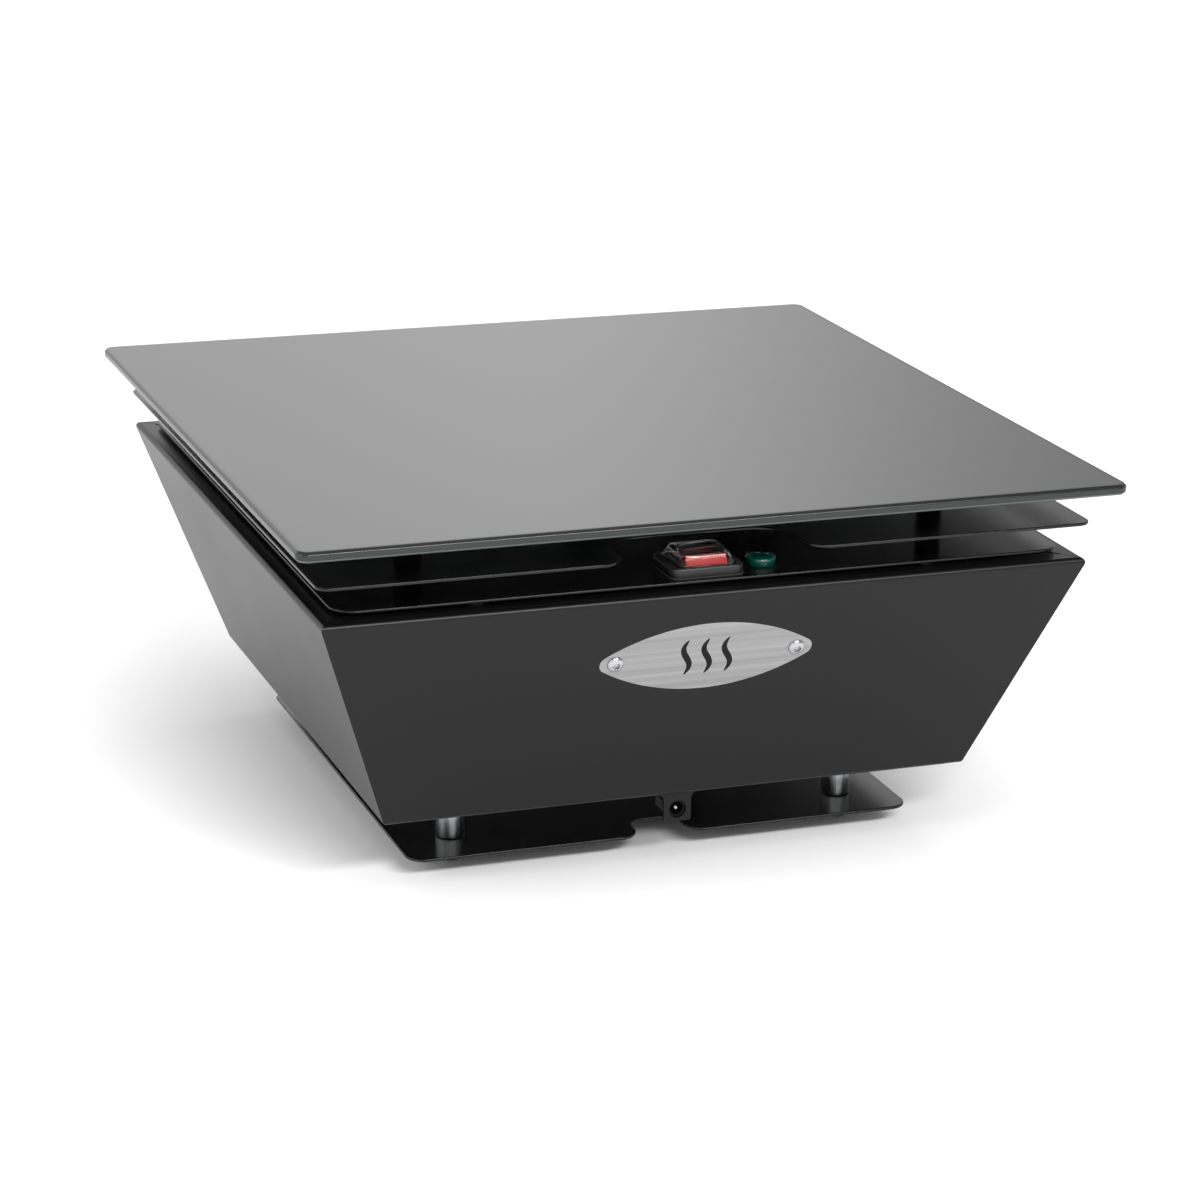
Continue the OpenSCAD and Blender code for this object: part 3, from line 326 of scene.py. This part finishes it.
# Lower bevel paint: the glass edge's own green tint, made lighter into a painted reflection line along the
# lower arris.
arris_tint_and_sheen = finish_of("arris_tint_and_sheen", (0.07, 0.088, 0.08), 0.4, grain=1500, bump=0.2, depth=0.05)
for paint in (black_glass, glass_edge, arris_tint_and_sheen):
    glass_top.data.materials.append(paint)
ring_size = len(glass_outline[0])
# Edge rows from the bottom up: flat, lower bevel with the painted reflection line, vertical face, top bevel
# and flat.
paint_of_row = np.array([0, 2, 2, 1, 1, 1, 0, 0, 0])
paint_index = np.append(np.repeat(paint_of_row, ring_size), [0, 0]).astype(np.int32)
glass_top.data.polygons.foreach_set("material_index", paint_index)
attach(glass_top, "base")
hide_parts("glass_plate")

# ---------------------------------------------------------------- Heating mat and spreader
# A silicone rubber mat with its heating wire moulded in, bonded between the glass and
# a plain aluminium sheet that evens out the heat. The cut-out sits under the middle.


def eased(name, node, width, limit=25, segments=2):
    """Copy of a CAD node with its doubles merged, flat faces made whole, and every edge sharper than
    `limit` degrees rounded by a small bevel."""
    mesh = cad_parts[node].data.copy()
    mesh.name = name
    work = bmesh.new()
    work.from_mesh(mesh)
    bmesh.ops.remove_doubles(work, verts=work.verts, dist=2e-6)
    bmesh.ops.dissolve_degenerate(work, dist=1e-6, edges=work.edges)
    bmesh.ops.dissolve_limit(work, angle_limit=math.radians(0.3), verts=work.verts, edges=work.edges)
    work.to_mesh(mesh)
    work.free()
    mesh.materials.clear()
    piece = bpy.data.objects.new(name, mesh)
    bpy.context.scene.collection.objects.link(piece)
    mesh.shade_smooth()
    bevel = piece.modifiers.new("ease", "BEVEL")
    bevel.width = width * mm
    bevel.segments = segments
    bevel.limit_method = "ANGLE"
    bevel.angle_limit = math.radians(limit)
    even = piece.modifiers.new("even", "WEIGHTED_NORMAL")
    even.weight = 100
    return piece


def dress(name, node, paint, slot, body="base", width=0.2, **values):
    """Eased copy of a CAD node, painted, riding on its body and standing for the node."""
    piece = eased(name, node, width, **values)
    piece.data.materials.append(paint)
    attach(piece, body)
    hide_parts(node)
    return piece


silicone = finish_of("red_silicone", (0.16, 0.035, 0.02), 0.7, grain=500, bump=0.4, depth=0.2)
mill_aluminium = finish_of("mill_aluminium", (0.62, 0.63, 0.65), 0.35, stretch=(1, 0.03, 1), grain=700,
                           bump=0.15, Metallic=1.0)
black_plastic = finish_of("black_plastic", (0.018, 0.018, 0.02), 0.42, grain=1500, bump=0.2, depth=0.06)
dress("heating_mat", "heater_mat", silicone, "heater_rubber", width=0.2)
dress("heat_spreader", "spreader_plate", mill_aluminium, "spreader_aluminium", width=0.2)
dress("cutout_can", "thermal_cutout", black_plastic, "black_nylon", width=0.3)

# ---------------------------------------------------------------- Sheets over the case
# Laser cut steel sheets, gloss powder coated: the middle one with its finger notch and
# the case cover. The coat pulls back to a soft round along every cut edge.

gloss_black = finish_of("gloss_black", (0.002, 0.002, 0.0022), 0.2, drift=0.4, rough_drift=0.05, patch=14,
                        grain=420, bump=0.05, depth=0.05, IOR=1.5, Specular_IOR_Level=0.36)
sheet_ease = 0.45 * mm


def sheet(name, node, outline, paint):
    """Cut sheet with rounded edges, standing for a CAD node and as thick as it."""
    low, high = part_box(node)
    piece = loft(name, carried(outline, eased_edge(low.z, high.z, sheet_ease)))
    piece.data.materials.append(paint)
    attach(piece, "base")
    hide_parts(node)
    return piece


def notched_square(half, corner, notch_half, depth, inner, mouth):
    """Round square with a notch in its front side: mouth curves turn in, inner curves turn back out."""
    c, front, bottom = half - corner, -half, -half + depth
    return arc_path([
        (c, -c, corner, -90, 0), (c, c, corner, 0, 90), (-c, c, corner, 90, 180), (-c, -c, corner, 180, 270),
        (-notch_half - mouth, front + mouth, mouth, -90, 0),
        (-notch_half + inner, bottom - inner, inner, 180, 90),
        (notch_half - inner, bottom - inner, inner, 90, 0),
        (notch_half + mouth, front + mouth, mouth, 180, 270),
    ], step=5)


middle_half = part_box("middle_plate")[1].x
cover_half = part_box("cover_plate")[1].x
middle_outline = notched_square(middle_half, 7 * mm, 44.5 * mm, 38 * mm, 18 * mm, 12 * mm)
sheet("middle_sheet", "middle_plate", middle_outline, gloss_black)
sheet("case_cover", "cover_plate", round_square(cover_half, cover_half, 12 * mm), gloss_black)

# ---------------------------------------------------------------- Case
# Four leaning walls of steel sheet, folded in at the top and bottom and welded at the
# corners, then powder coated satin black. The bottom panel carries the inlet tab.

satin_black = finish_of("satin_black", (0.003, 0.003, 0.0033), 0.33, drift=0.25, rough_drift=0.05, patch=11,
                        grain=1400, bump=0.18, depth=0.05, Specular_IOR_Level=0.25)
dress("case_walls", "body_shell", satin_black, "satin_black_steel", width=0.45, segments=3)
dress("case_bottom", "bottom_panel", satin_black, "satin_black_steel", width=0.25)

# ---------------------------------------------------------------- Posts, base sheet and feet
# Posts cut from drawn aluminium bar with fine lines along it, chamfered at both ends,
# over a gloss black base sheet. Moulded rubber feet are screwed on under it.


def turned_rings(profile, around=48):
    """Solid of revolution about Z: a ring of radius r at height z for each (r, z) of the profile."""
    a = np.linspace(0, 2 * np.pi, around, endpoint=False)
    return [np.column_stack([r * np.cos(a), r * np.sin(a), np.full(around, z)]) for r, z in profile]


def join(parts):
    """The first part with the meshes of all the parts in it. The other parts are removed."""
    whole = bmesh.new()
    for part in parts:
        whole.from_mesh(part.data)
    whole.to_mesh(parts[0].data)
    whole.free()
    for part in parts[1:]:
        bpy.data.objects.remove(part)
    parts[0].data.shade_smooth()
    return parts[0]


def at_places(name, rings, places, closed=True):
    """The same rings at several places, joined into one piece."""
    return join([loft(name, np.asarray(rings) + np.array(place), closed) for place in places])


drawn_aluminium = finish_of("drawn_aluminium", (0.48, 0.49, 0.5), 0.28, drift=1.2, rough_drift=0.3, patch=260,
                            stretch=(1, 1, 0.03), grain=500, bump=1.0, depth=0.1, Metallic=1.0)
post_low, post_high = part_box("posts")
post_reach = 100 * mm
post_r = post_high.x - post_reach
post_bore = 2.5 * mm
corner_places = [(sx * post_reach, sy * post_reach, 0) for sx in (-1, 1) for sy in (-1, 1)]
post_profile = [
    (post_bore, post_low.z), (post_r - 0.8 * mm, post_low.z), (post_r - 0.5 * mm, post_low.z),
    (post_r - 0.1 * mm, post_low.z + 0.4 * mm), (post_r, post_low.z + 0.7 * mm),
    (post_r, post_high.z - 0.7 * mm), (post_r - 0.1 * mm, post_high.z - 0.4 * mm),
    (post_r - 0.5 * mm, post_high.z), (post_r - 0.8 * mm, post_high.z), (post_bore, post_high.z),
]
post_set = at_places("post_set", turned_rings(post_profile), corner_places)
post_set.data.materials.append(drawn_aluminium)
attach(post_set, "base")
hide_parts("posts")

base_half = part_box("base_plate")[1].x
sheet("base_sheet", "base_plate", notched_square(base_half, 9.5 * mm, 12.5 * mm, 22 * mm, 8 * mm, 10 * mm),
      gloss_black)

soft_rubber = finish_of("soft_rubber", (0.02, 0.02, 0.02), 0.65, grain=1200, bump=0.3, depth=0.08)
foot_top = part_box("feet")[1].z
foot_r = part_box("feet")[1].x - post_reach
foot_bore, head_bore, head_room = 2.75 * mm, 5.2 * mm, 4 * mm
foot_profile = [
    (head_bore, head_room), (head_bore, 0.5 * mm), (head_bore + 0.3 * mm, 0), (foot_r - 1.6 * mm, 0),
    (foot_r - 0.9 * mm, 0.3 * mm), (foot_r - 0.6 * mm, 1.0 * mm), (foot_r, foot_top - 0.8 * mm),
    (foot_r - 0.3 * mm, foot_top), (foot_bore, foot_top), (foot_bore, head_room),
]
foot_set = at_places("foot_set", turned_rings(foot_profile), corner_places)
foot_set.data.materials.append(soft_rubber)
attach(foot_set, "base")
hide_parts("feet")

# ---------------------------------------------------------------- Spacers between the sheets
# Aluminium tubes on the welded studs, anodised black, clamp the glass stack together.

anodised_black = finish_of("anodised_black", (0.006, 0.006, 0.006), 0.55, stretch=(0.05, 0.05, 1), grain=2000,
                           bump=0.15, depth=0.03, Specular_IOR_Level=0.2)
spacer_r = 6 * mm
spacer_reach = 130 * mm
spacer_places = [(sx * spacer_reach, sy * spacer_reach, 0) for sx in (-1, 1) for sy in (-1, 1)]
for name, node in (("spacers_over_middle", "upper_spacers"), ("spacers_over_cover", "lower_spacers")):
    low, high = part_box(node)
    tube = [(2.25 * mm, low.z), (spacer_r - 0.4 * mm, low.z), (spacer_r, low.z + 0.4 * mm),
            (spacer_r, high.z - 0.4 * mm), (spacer_r - 0.4 * mm, high.z), (2.25 * mm, high.z)]
    spacers = at_places(name, turned_rings(tube), spacer_places)
    spacers.data.materials.append(anodised_black)
    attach(spacers, "base")
    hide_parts(node)

# ---------------------------------------------------------------- Switch housing
# A moulded nylon box dropped through the cover, whose bezel rests on a thin rubber
# gasket. The rocker turns in its open well.

pin_low, pin_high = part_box("rocker_pin")
pivot = (np.array(pin_low) + np.array(pin_high)) / 2
fine_nylon = finish_of("fine_nylon", (0.008, 0.008, 0.0085), 0.4, grain=2200, bump=0.25, depth=0.05)
dress("switch_seal", "switch_gasket", soft_rubber, "black_rubber", width=0.15)


def boxy_rings(levels):
    """Rings of rounded rectangles about the pivot: (half x, half y, corner radius, height) in millimetres."""
    rings = []
    for half_x, half_y, corner, height in levels:
        points, _ = round_square(half_x * mm, half_y * mm, corner * mm, step=6)
        rings.append(np.column_stack([points + pivot[:2], np.full(len(points), pivot[2] + height * mm)]))
    return rings


bezel_side = [(18.0 - 1.0 * (1 - math.cos(t)), 14.2 - 1.0 * (1 - math.cos(t)), 4.5 - 0.8 * (1 - math.cos(t)),
               1.0 + 1.0 * math.sin(t)) for t in np.radians([0, 18, 36, 54, 72, 90])]
housing = loft("switch_box", boxy_rings(
    [(14.9, 12.5, 0.9, -22.0), (15.0, 12.6, 1.0, -21.8), (15.0, 12.6, 1.0, -2.4), (17.7, 13.9, 4.2, -2.4),
     (17.9, 14.1, 4.4, -2.3), (18.0, 14.2, 4.5, -2.1)] + bezel_side
    + [(10.7, 11.8, 0.8, 2.0), (10.4, 11.5, 0.6, 1.85), (10.3, 11.4, 0.5, 1.5), (10.3, 11.4, 0.5, -19.9),
       (10.2, 11.3, 0.5, -20.0)]))
housing.data.materials.append(fine_nylon)
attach(housing, "base")
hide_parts("switch_housing")

# ---------------------------------------------------------------- Rocker
# Injection moulded in translucent red plastic, dished on top, with round ends and a
# hollow stem below for the sprung plunger. It snaps over the steel pin.

rocker_tilt = math.radians(11)
rocker_end = 11.1 * mm
rocker_crown = 2.84 * mm
rocker_half = 10 * mm
rocker_round = 0.7 * mm
dish = 26 * mm
slope = math.tan(rocker_tilt)
under = rocker_crown - rocker_round / math.cos(rocker_tilt)
reach = ((math.sqrt((rocker_end - rocker_round) ** 2 * (1 + slope ** 2) - under ** 2) - slope * under)
         / (1 + slope ** 2))
rise = under + slope * reach
lip = math.degrees(math.atan2(rise, reach))
lean_deg = math.degrees(rocker_tilt)
rocker_outline = arc_path([
    (5.9 * mm, -2.0 * mm, 0.4 * mm, -90, -73), (0, 0, rocker_end, -4.5, lip),
    (reach, rise, rocker_round, lip, 90 + lean_deg),
    (0, rocker_crown + dish / math.cos(rocker_tilt), dish, lean_deg - 90, -90 - lean_deg),
    (-reach, rise, rocker_round, 90 - lean_deg, 180 - lip), (0, 0, rocker_end, 180 - lip, 184.5),
    (-5.9 * mm, -2.0 * mm, 0.4 * mm, 253, 270),
], step=3)


def tipped(rings):
    """Rings about the pin, given as (x, y, z), turned to the rest position with the front end up:
    y takes y cos a + z sin a and z takes z cos a - y sin a, then both move to the pivot."""
    x, y, z = np.moveaxis(np.asarray(rings), -1, 0)
    c, s = math.cos(rocker_tilt), math.sin(rocker_tilt)
    return np.stack([x, y * c + z * s, z * c - y * s], -1) + pivot


rocker_rings = carried(rocker_outline, eased_edge(-rocker_half, rocker_half, 0.7 * mm, 5))
along_x = [ring[:, [2, 0, 1]] for ring in rocker_rings]
stem_bore, stem_r, stem_low, stem_high = 1.6 * mm, 2.6 * mm, -9 * mm, -2 * mm
stem = turned_rings(
    [(stem_bore, stem_low), (stem_r, stem_low), (stem_r, stem_high), (stem_bore, stem_high)], 32)
rocker_cap = join([loft("rocker_cap", tipped(along_x)), loft("stem", tipped(stem), closed=True)])
red_plastic = finish_of("red_plastic", (0.5, 0.01, 0.009), 0.22, drift=0.1, rough_drift=0.04, grain=600,
                        bump=0.05, depth=0.03, Subsurface_Weight=0.15, Subsurface_Scale=0.002)
rocker_cap.data.materials.append(red_plastic)
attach(rocker_cap, "rocker")
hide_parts("rocker")

# ---------------------------------------------------------------- Clear splash cover
# A soft silicone hood with a thin skirt that grips the bezel, so that the switch can
# be worked with wet hands. The rocker shows through it.

skin = 0.6
hood_base = 2.0
skirt_low, skirt_high = hood_base + 0.05, hood_base + skin


def hood_rings(off, rise):
    """Wall and crown of the hood, `off` inside the outer face: straight sides that lean in, then a round
    shoulder where pull in and height follow a quarter circle."""
    sides = [(13.8 - off, 12.7 - off, 3.2 - off, hood_base + 0.9),
             (11.95 - off, 10.6 - off, 2.7 - off, hood_base + rise - 1.5)]
    t = np.radians(np.linspace(15, 90, 6))
    shoulder = [(11.9 - off - 1.5 * (1 - math.cos(a)), 10.5 - off - 1.5 * (1 - math.cos(a)), 2.6 - off,
                 hood_base + rise - 1.5 + 1.5 * math.sin(a)) for a in t]
    return sides + shoulder


outer_hood = hood_rings(0, 5.8)
inner_hood = hood_rings(skin, 5.8 - skin)
flange = [(13.2, 12.1, 2.6, skirt_low), (14.4, 13.2, 3.5, skirt_low), (14.6, 13.4, 3.6, skirt_low + 0.12),
          (14.6, 13.4, 3.6, skirt_high - 0.15), (14.4, 13.2, 3.5, skirt_high),
          (14.05, 12.9, 3.4, skirt_high + 0.08)]
hood_cap = [(8.0, 6.8, 1.6, hood_base + 5.85)]
splash_hood = loft("splash_hood", boxy_rings(inner_hood[::-1] + flange + outer_hood + hood_cap))
clear_silicone = bpy.data.materials.new("clear_silicone")
clear_silicone.use_nodes = True
silicone_nodes, silicone_link = clear_silicone.node_tree.nodes, clear_silicone.node_tree.links.new
silicone_shader = silicone_nodes["Principled BSDF"]
silicone_shader.inputs["Transmission Weight"].default_value = 1.0
silicone_shader.inputs["IOR"].default_value = 1.33
silicone_haze = silicone_nodes.new("ShaderNodeGroup")
silicone_haze.node_tree = mottle
silicone_haze.inputs["Colour"].default_value = (0.93, 0.94, 0.95, 1)
silicone_haze.inputs["Drift"].default_value = 0.05
silicone_haze.inputs["Roughness"].default_value = 0.04
silicone_haze.inputs["Roughness drift"].default_value = 0.05
silicone_haze.inputs["Patch size"].default_value = 160
silicone_link(silicone_haze.outputs["Colour"], silicone_shader.inputs["Base Color"])
silicone_link(silicone_haze.outputs["Roughness"], silicone_shader.inputs["Roughness"])
splash_hood.data.materials.append(clear_silicone)
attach(splash_hood, "base")
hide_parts("splash_cover")

# ---------------------------------------------------------------- Indicator
# A green lens with a slightly domed middle inside a plain rim, over a light emitting
# diode in a black barrel that a nut holds under the cover.

lens_low, lens_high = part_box("lamp_lens")
lens_r = (lens_high.x - lens_low.x) / 2
lens_x = (lens_high.x + lens_low.x) / 2
dome = np.radians(np.linspace(90, 0, 7))
lens_profile = [(4.9 * mm, lens_low.z + 2.8 * mm), (5 * mm, lens_low.z), (lens_r - 0.2 * mm, lens_low.z),
                (lens_r, lens_low.z + 0.2 * mm)]
lens_profile += [(lens_r - 0.9 * mm * (1 - math.cos(t)), lens_high.z - 0.9 * mm * (1 - math.sin(t)))
                 for t in np.radians([0, 22, 45, 68, 90])]
lens_profile += [(5.3 * mm, lens_high.z), (5.1 * mm, lens_high.z - 0.25 * mm)]
lens_profile += [(4.9 * mm * math.sin(t), lens_high.z - 0.3 * mm + 0.7 * mm * math.cos(t)) for t in dome[:-1]]
lens_place = [(lens_x, pivot[1], 0)]
lens = at_places("lens_cap", turned_rings(lens_profile, 64), lens_place, closed=False)
green_plastic = finish_of("green_plastic", (0.0, 0.05, 0.036), 0.1, drift=0.15, rough_drift=0.03, grain=500,
                          bump=0.03, depth=0.03, Coat_Weight=0.5, Coat_Roughness=0.05)
lens.data.materials.append(green_plastic)
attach(lens, "base")
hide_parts("lamp_lens")

# ---------------------------------------------------------------- Badge
# A stainless plate cut as a pointed oval, brushed lengthways and held by two button
# screws. A generic mark of three rising heat waves is filled with black enamel.

lean = math.atan2(41, 112.3)
badge_drop = 36.5 * mm
wall_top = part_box("body_shell")
badge_origin = np.array([0, wall_top[0].y + badge_drop * math.sin(lean),
                         wall_top[1].z - badge_drop * math.cos(lean)])
wall_axes = np.array([[1, 0, 0], [0, -math.sin(lean), math.cos(lean)], [0, -math.cos(lean), -math.sin(lean)]])


def on_wall(rings):
    """Rings in the badge's own frame (along, up the slope, out of the wall) put on the front wall:
    the badge's middle plus each coordinate times its axis."""
    return badge_origin + np.asarray(rings) @ wall_axes


badge_half_h = 19 * mm
tip_r = 5 * mm
tip_x = 47.5 * mm
wide_r = (tip_x ** 2 / (badge_half_h - tip_r) + badge_half_h + tip_r) / 2
touch = math.degrees(math.atan2(wide_r - badge_half_h, tip_x))
badge_outline = arc_path([
    (0, wide_r - badge_half_h, wide_r, touch - 180, -touch), (tip_x, 0, tip_r, -touch, touch),
    (0, badge_half_h - wide_r, wide_r, touch, 180 - touch), (-tip_x, 0, tip_r, 180 - touch, 180 + touch),
], step=1.5)
badge_t = 1 * mm
badge_plate = loft("badge_plate", on_wall(carried(badge_outline, eased_edge(0, badge_t, 0.3 * mm))))
brushed_steel = finish_of("brushed_steel", (0.33, 0.33, 0.335), 0.34, drift=0.7, rough_drift=0.2, patch=330,
                          grain=900, stretch=(0.012, 1, 1), bump=0.9, depth=0.08, Metallic=1.0)
badge_plate.data.materials.append(brushed_steel)
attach(badge_plate, "base")
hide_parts("badge")


def heat_wave(middle):
    """One stroke of the mark: a flat oval section, (w cos a, h sin a), carried up a sine line whose
    width w swells as the square root of a sine and comes to a point at both ends."""
    s = np.linspace(0, 1, 41)
    v = (s - 0.5) * 20 * mm
    u = middle + 2.0 * mm * np.sin(2 * np.pi * s)
    wide = 1.5 * mm * np.sqrt(np.sin(np.pi * np.clip(s, 0.002, 0.998)))
    a = np.linspace(0, 2 * np.pi, 16, endpoint=False)
    across = np.stack([np.gradient(v), -np.gradient(u)], 1)
    across = across / np.linalg.norm(across, axis=1, keepdims=True)
    ring = wide[:, None] * np.cos(a)[None, :]
    height = badge_t + 0.09 * mm * np.sin(a)[None, :] * np.ones((len(s), 1))
    return np.stack([u[:, None] + across[:, :1] * ring, v[:, None] + across[:, 1:] * ring, height], -1)


wave_pitch = 10 * mm
badge_mark = join([loft("badge_mark", on_wall(heat_wave(x * wave_pitch))[:, ::-1]) for x in (-1, 0, 1)])
enamel = finish_of("black_enamel", (0.004, 0.004, 0.0045), 0.5, grain=900, bump=0.1,
                   Specular_IOR_Level=0.15)
badge_mark.data.materials.append(enamel)
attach(badge_mark, "base")

around = np.linspace(0, 2 * np.pi, 96, endpoint=False)
lobes = 1 + 0.16 * np.cos(6 * around)


def level_ring(radii, w):
    """Ring at height w whose radius is one number or one for each of the angles `around`."""
    return np.column_stack([radii * np.cos(around), radii * np.sin(around), np.full(len(around), w)])


def screw_rings(middle):
    """Button screw: shank, crowned head with height proportional to sqrt(1 - (r / R) squared), and a
    six lobed socket whose radius is r (1 + 0.16 cos 6a)."""
    head_r, crown = 4.0, 1.75
    profile = [(1.5, -6.2), (1.5, 1.0), (3.9, 1.0), (4.0, 1.1)]
    profile += [(r, 1.2 + crown * math.sqrt(1 - (r / head_r) ** 2)) for r in (3.97, 3.85, 3.6, 3.2, 2.7, 2.2)]
    rings = [level_ring(r, w) for r, w in profile]
    top = profile[-1][1]
    for r, w in ((1.72, top + 0.12), (1.6, top - 0.02), (1.55, top - 1.1), (0.6, top - 1.25)):
        rings.append(level_ring(r * lobes, w))
    return on_wall(np.asarray(rings) * mm + np.array([middle, 0, 0]))


screw_reach = 44.6 * mm
badge_screw_pair = join([loft("badge_screw_pair", screw_rings(x * screw_reach)) for x in (-1, 1)])
badge_screw_pair.data.set_sharp_from_angle(angle=math.radians(40))
bright_zinc = finish_of("bright_zinc", (0.45, 0.45, 0.46), 0.24, drift=0.2, rough_drift=0.08, grain=800,
                        bump=0.06, Metallic=1.0)
badge_screw_pair.data.materials.append(bright_zinc)
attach(badge_screw_pair, "base")
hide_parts("badge_screws")

# ---------------------------------------------------------------- Charging inlet
# A low voltage jack held by a sprung clip behind the tab at the front of the case, with
# a plated centre pin in its round socket.

matt_nylon = finish_of("matt_nylon", (0.003, 0.003, 0.003), 0.6, grain=1500, bump=0.2, depth=0.04,
                       Specular_IOR_Level=0.12)
dress("inlet_body", "inlet_jack", matt_nylon, "black_nylon", width=0.12)

# ---------------------------------------------------------------- Inner parts
# Studs, nuts, leads, the rechargeable pack, the control board and the switch contacts,
# which show only with the case open, keep their shapes and take their own finishes.

brass = finish_of("stamped_brass", (0.72, 0.52, 0.24), 0.3, grain=900, bump=0.1, Metallic=1.0)
spring_wire = finish_of("spring_wire", (0.5, 0.5, 0.52), 0.3, grain=1200, bump=0.1, Metallic=1.0)
white_nylon = finish_of("white_nylon", (0.75, 0.75, 0.72), 0.45, drift=0.06, grain=1500, bump=0.15)
cell_film = finish_of("cell_film", (0.02, 0.2, 0.28), 0.3, grain=200, bump=0.08, depth=0.2)
nickel_strip = finish_of("nickel_strip", (0.55, 0.54, 0.5), 0.28, grain=900, bump=0.1, Metallic=1.0)
galvanised = finish_of("galvanised_sheet", (0.42, 0.43, 0.44), 0.4, drift=0.35, patch=80, grain=300, bump=0.1,
                       Metallic=1.0)
solder_mask = finish_of("solder_mask", (0.015, 0.13, 0.045), 0.3, drift=0.15, patch=60, grain=260, bump=0.15)
blue_plastic = finish_of("blue_plastic", (0.03, 0.07, 0.28), 0.4, grain=1500, bump=0.15)
epoxy = finish_of("tinted_epoxy", (0.45, 0.72, 0.5), 0.12, drift=0.05, grain=300, bump=0.02)
red_sleeve = finish_of("red_sleeve", (0.42, 0.02, 0.02), 0.5, grain=900, bump=0.2)
grey_sleeve = finish_of("grey_sleeve", (0.15, 0.15, 0.16), 0.5, grain=900, bump=0.2)
woven_sleeve = finish_of("woven_sleeve", (0.72, 0.71, 0.68), 0.8, drift=0.15, grain=2400, bump=0.6, depth=0.2)
inner_finishes = {
    "stack_studs": bright_zinc, "stack_nuts": bright_zinc, "cover_studs": bright_zinc,
    "cover_washers": fine_nylon, "cover_nuts": bright_zinc, "panel_screws": bright_zinc,
    "panel_nuts": bright_zinc, "post_screws": bright_zinc, "foot_screws": bright_zinc,
    "badge_nuts": bright_zinc, "board_screws": bright_zinc, "rocker_pin": bright_zinc,
    "inlet_pin": nickel_strip, "inlet_contact": nickel_strip, "inlet_clip": spring_wire,
    "plunger": white_nylon, "plunger_spring": spring_wire, "contact_lever": brass,
    "switch_terminals": brass, "lead_grommets": soft_rubber, "lamp_body": fine_nylon,
    "lamp_nut": fine_nylon, "lamp_led": epoxy, "battery_tray": galvanised, "battery_cells": cell_film,
    "cell_holders": black_plastic, "cell_links": nickel_strip, "battery_straps": galvanised,
    "control_board": solder_mask, "board_parts": blue_plastic, "board_heatsink": mill_aluminium,
    "board_spacers": white_nylon, "heater_leads": woven_sleeve, "sensor_leads": woven_sleeve,
    "battery_leads": red_sleeve, "inlet_leads": red_sleeve, "switch_leads": grey_sleeve,
    "lamp_leads": grey_sleeve,
}
for node, paint in inner_finishes.items():
    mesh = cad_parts[node].data
    mesh.materials.clear()
    mesh.materials.append(paint)
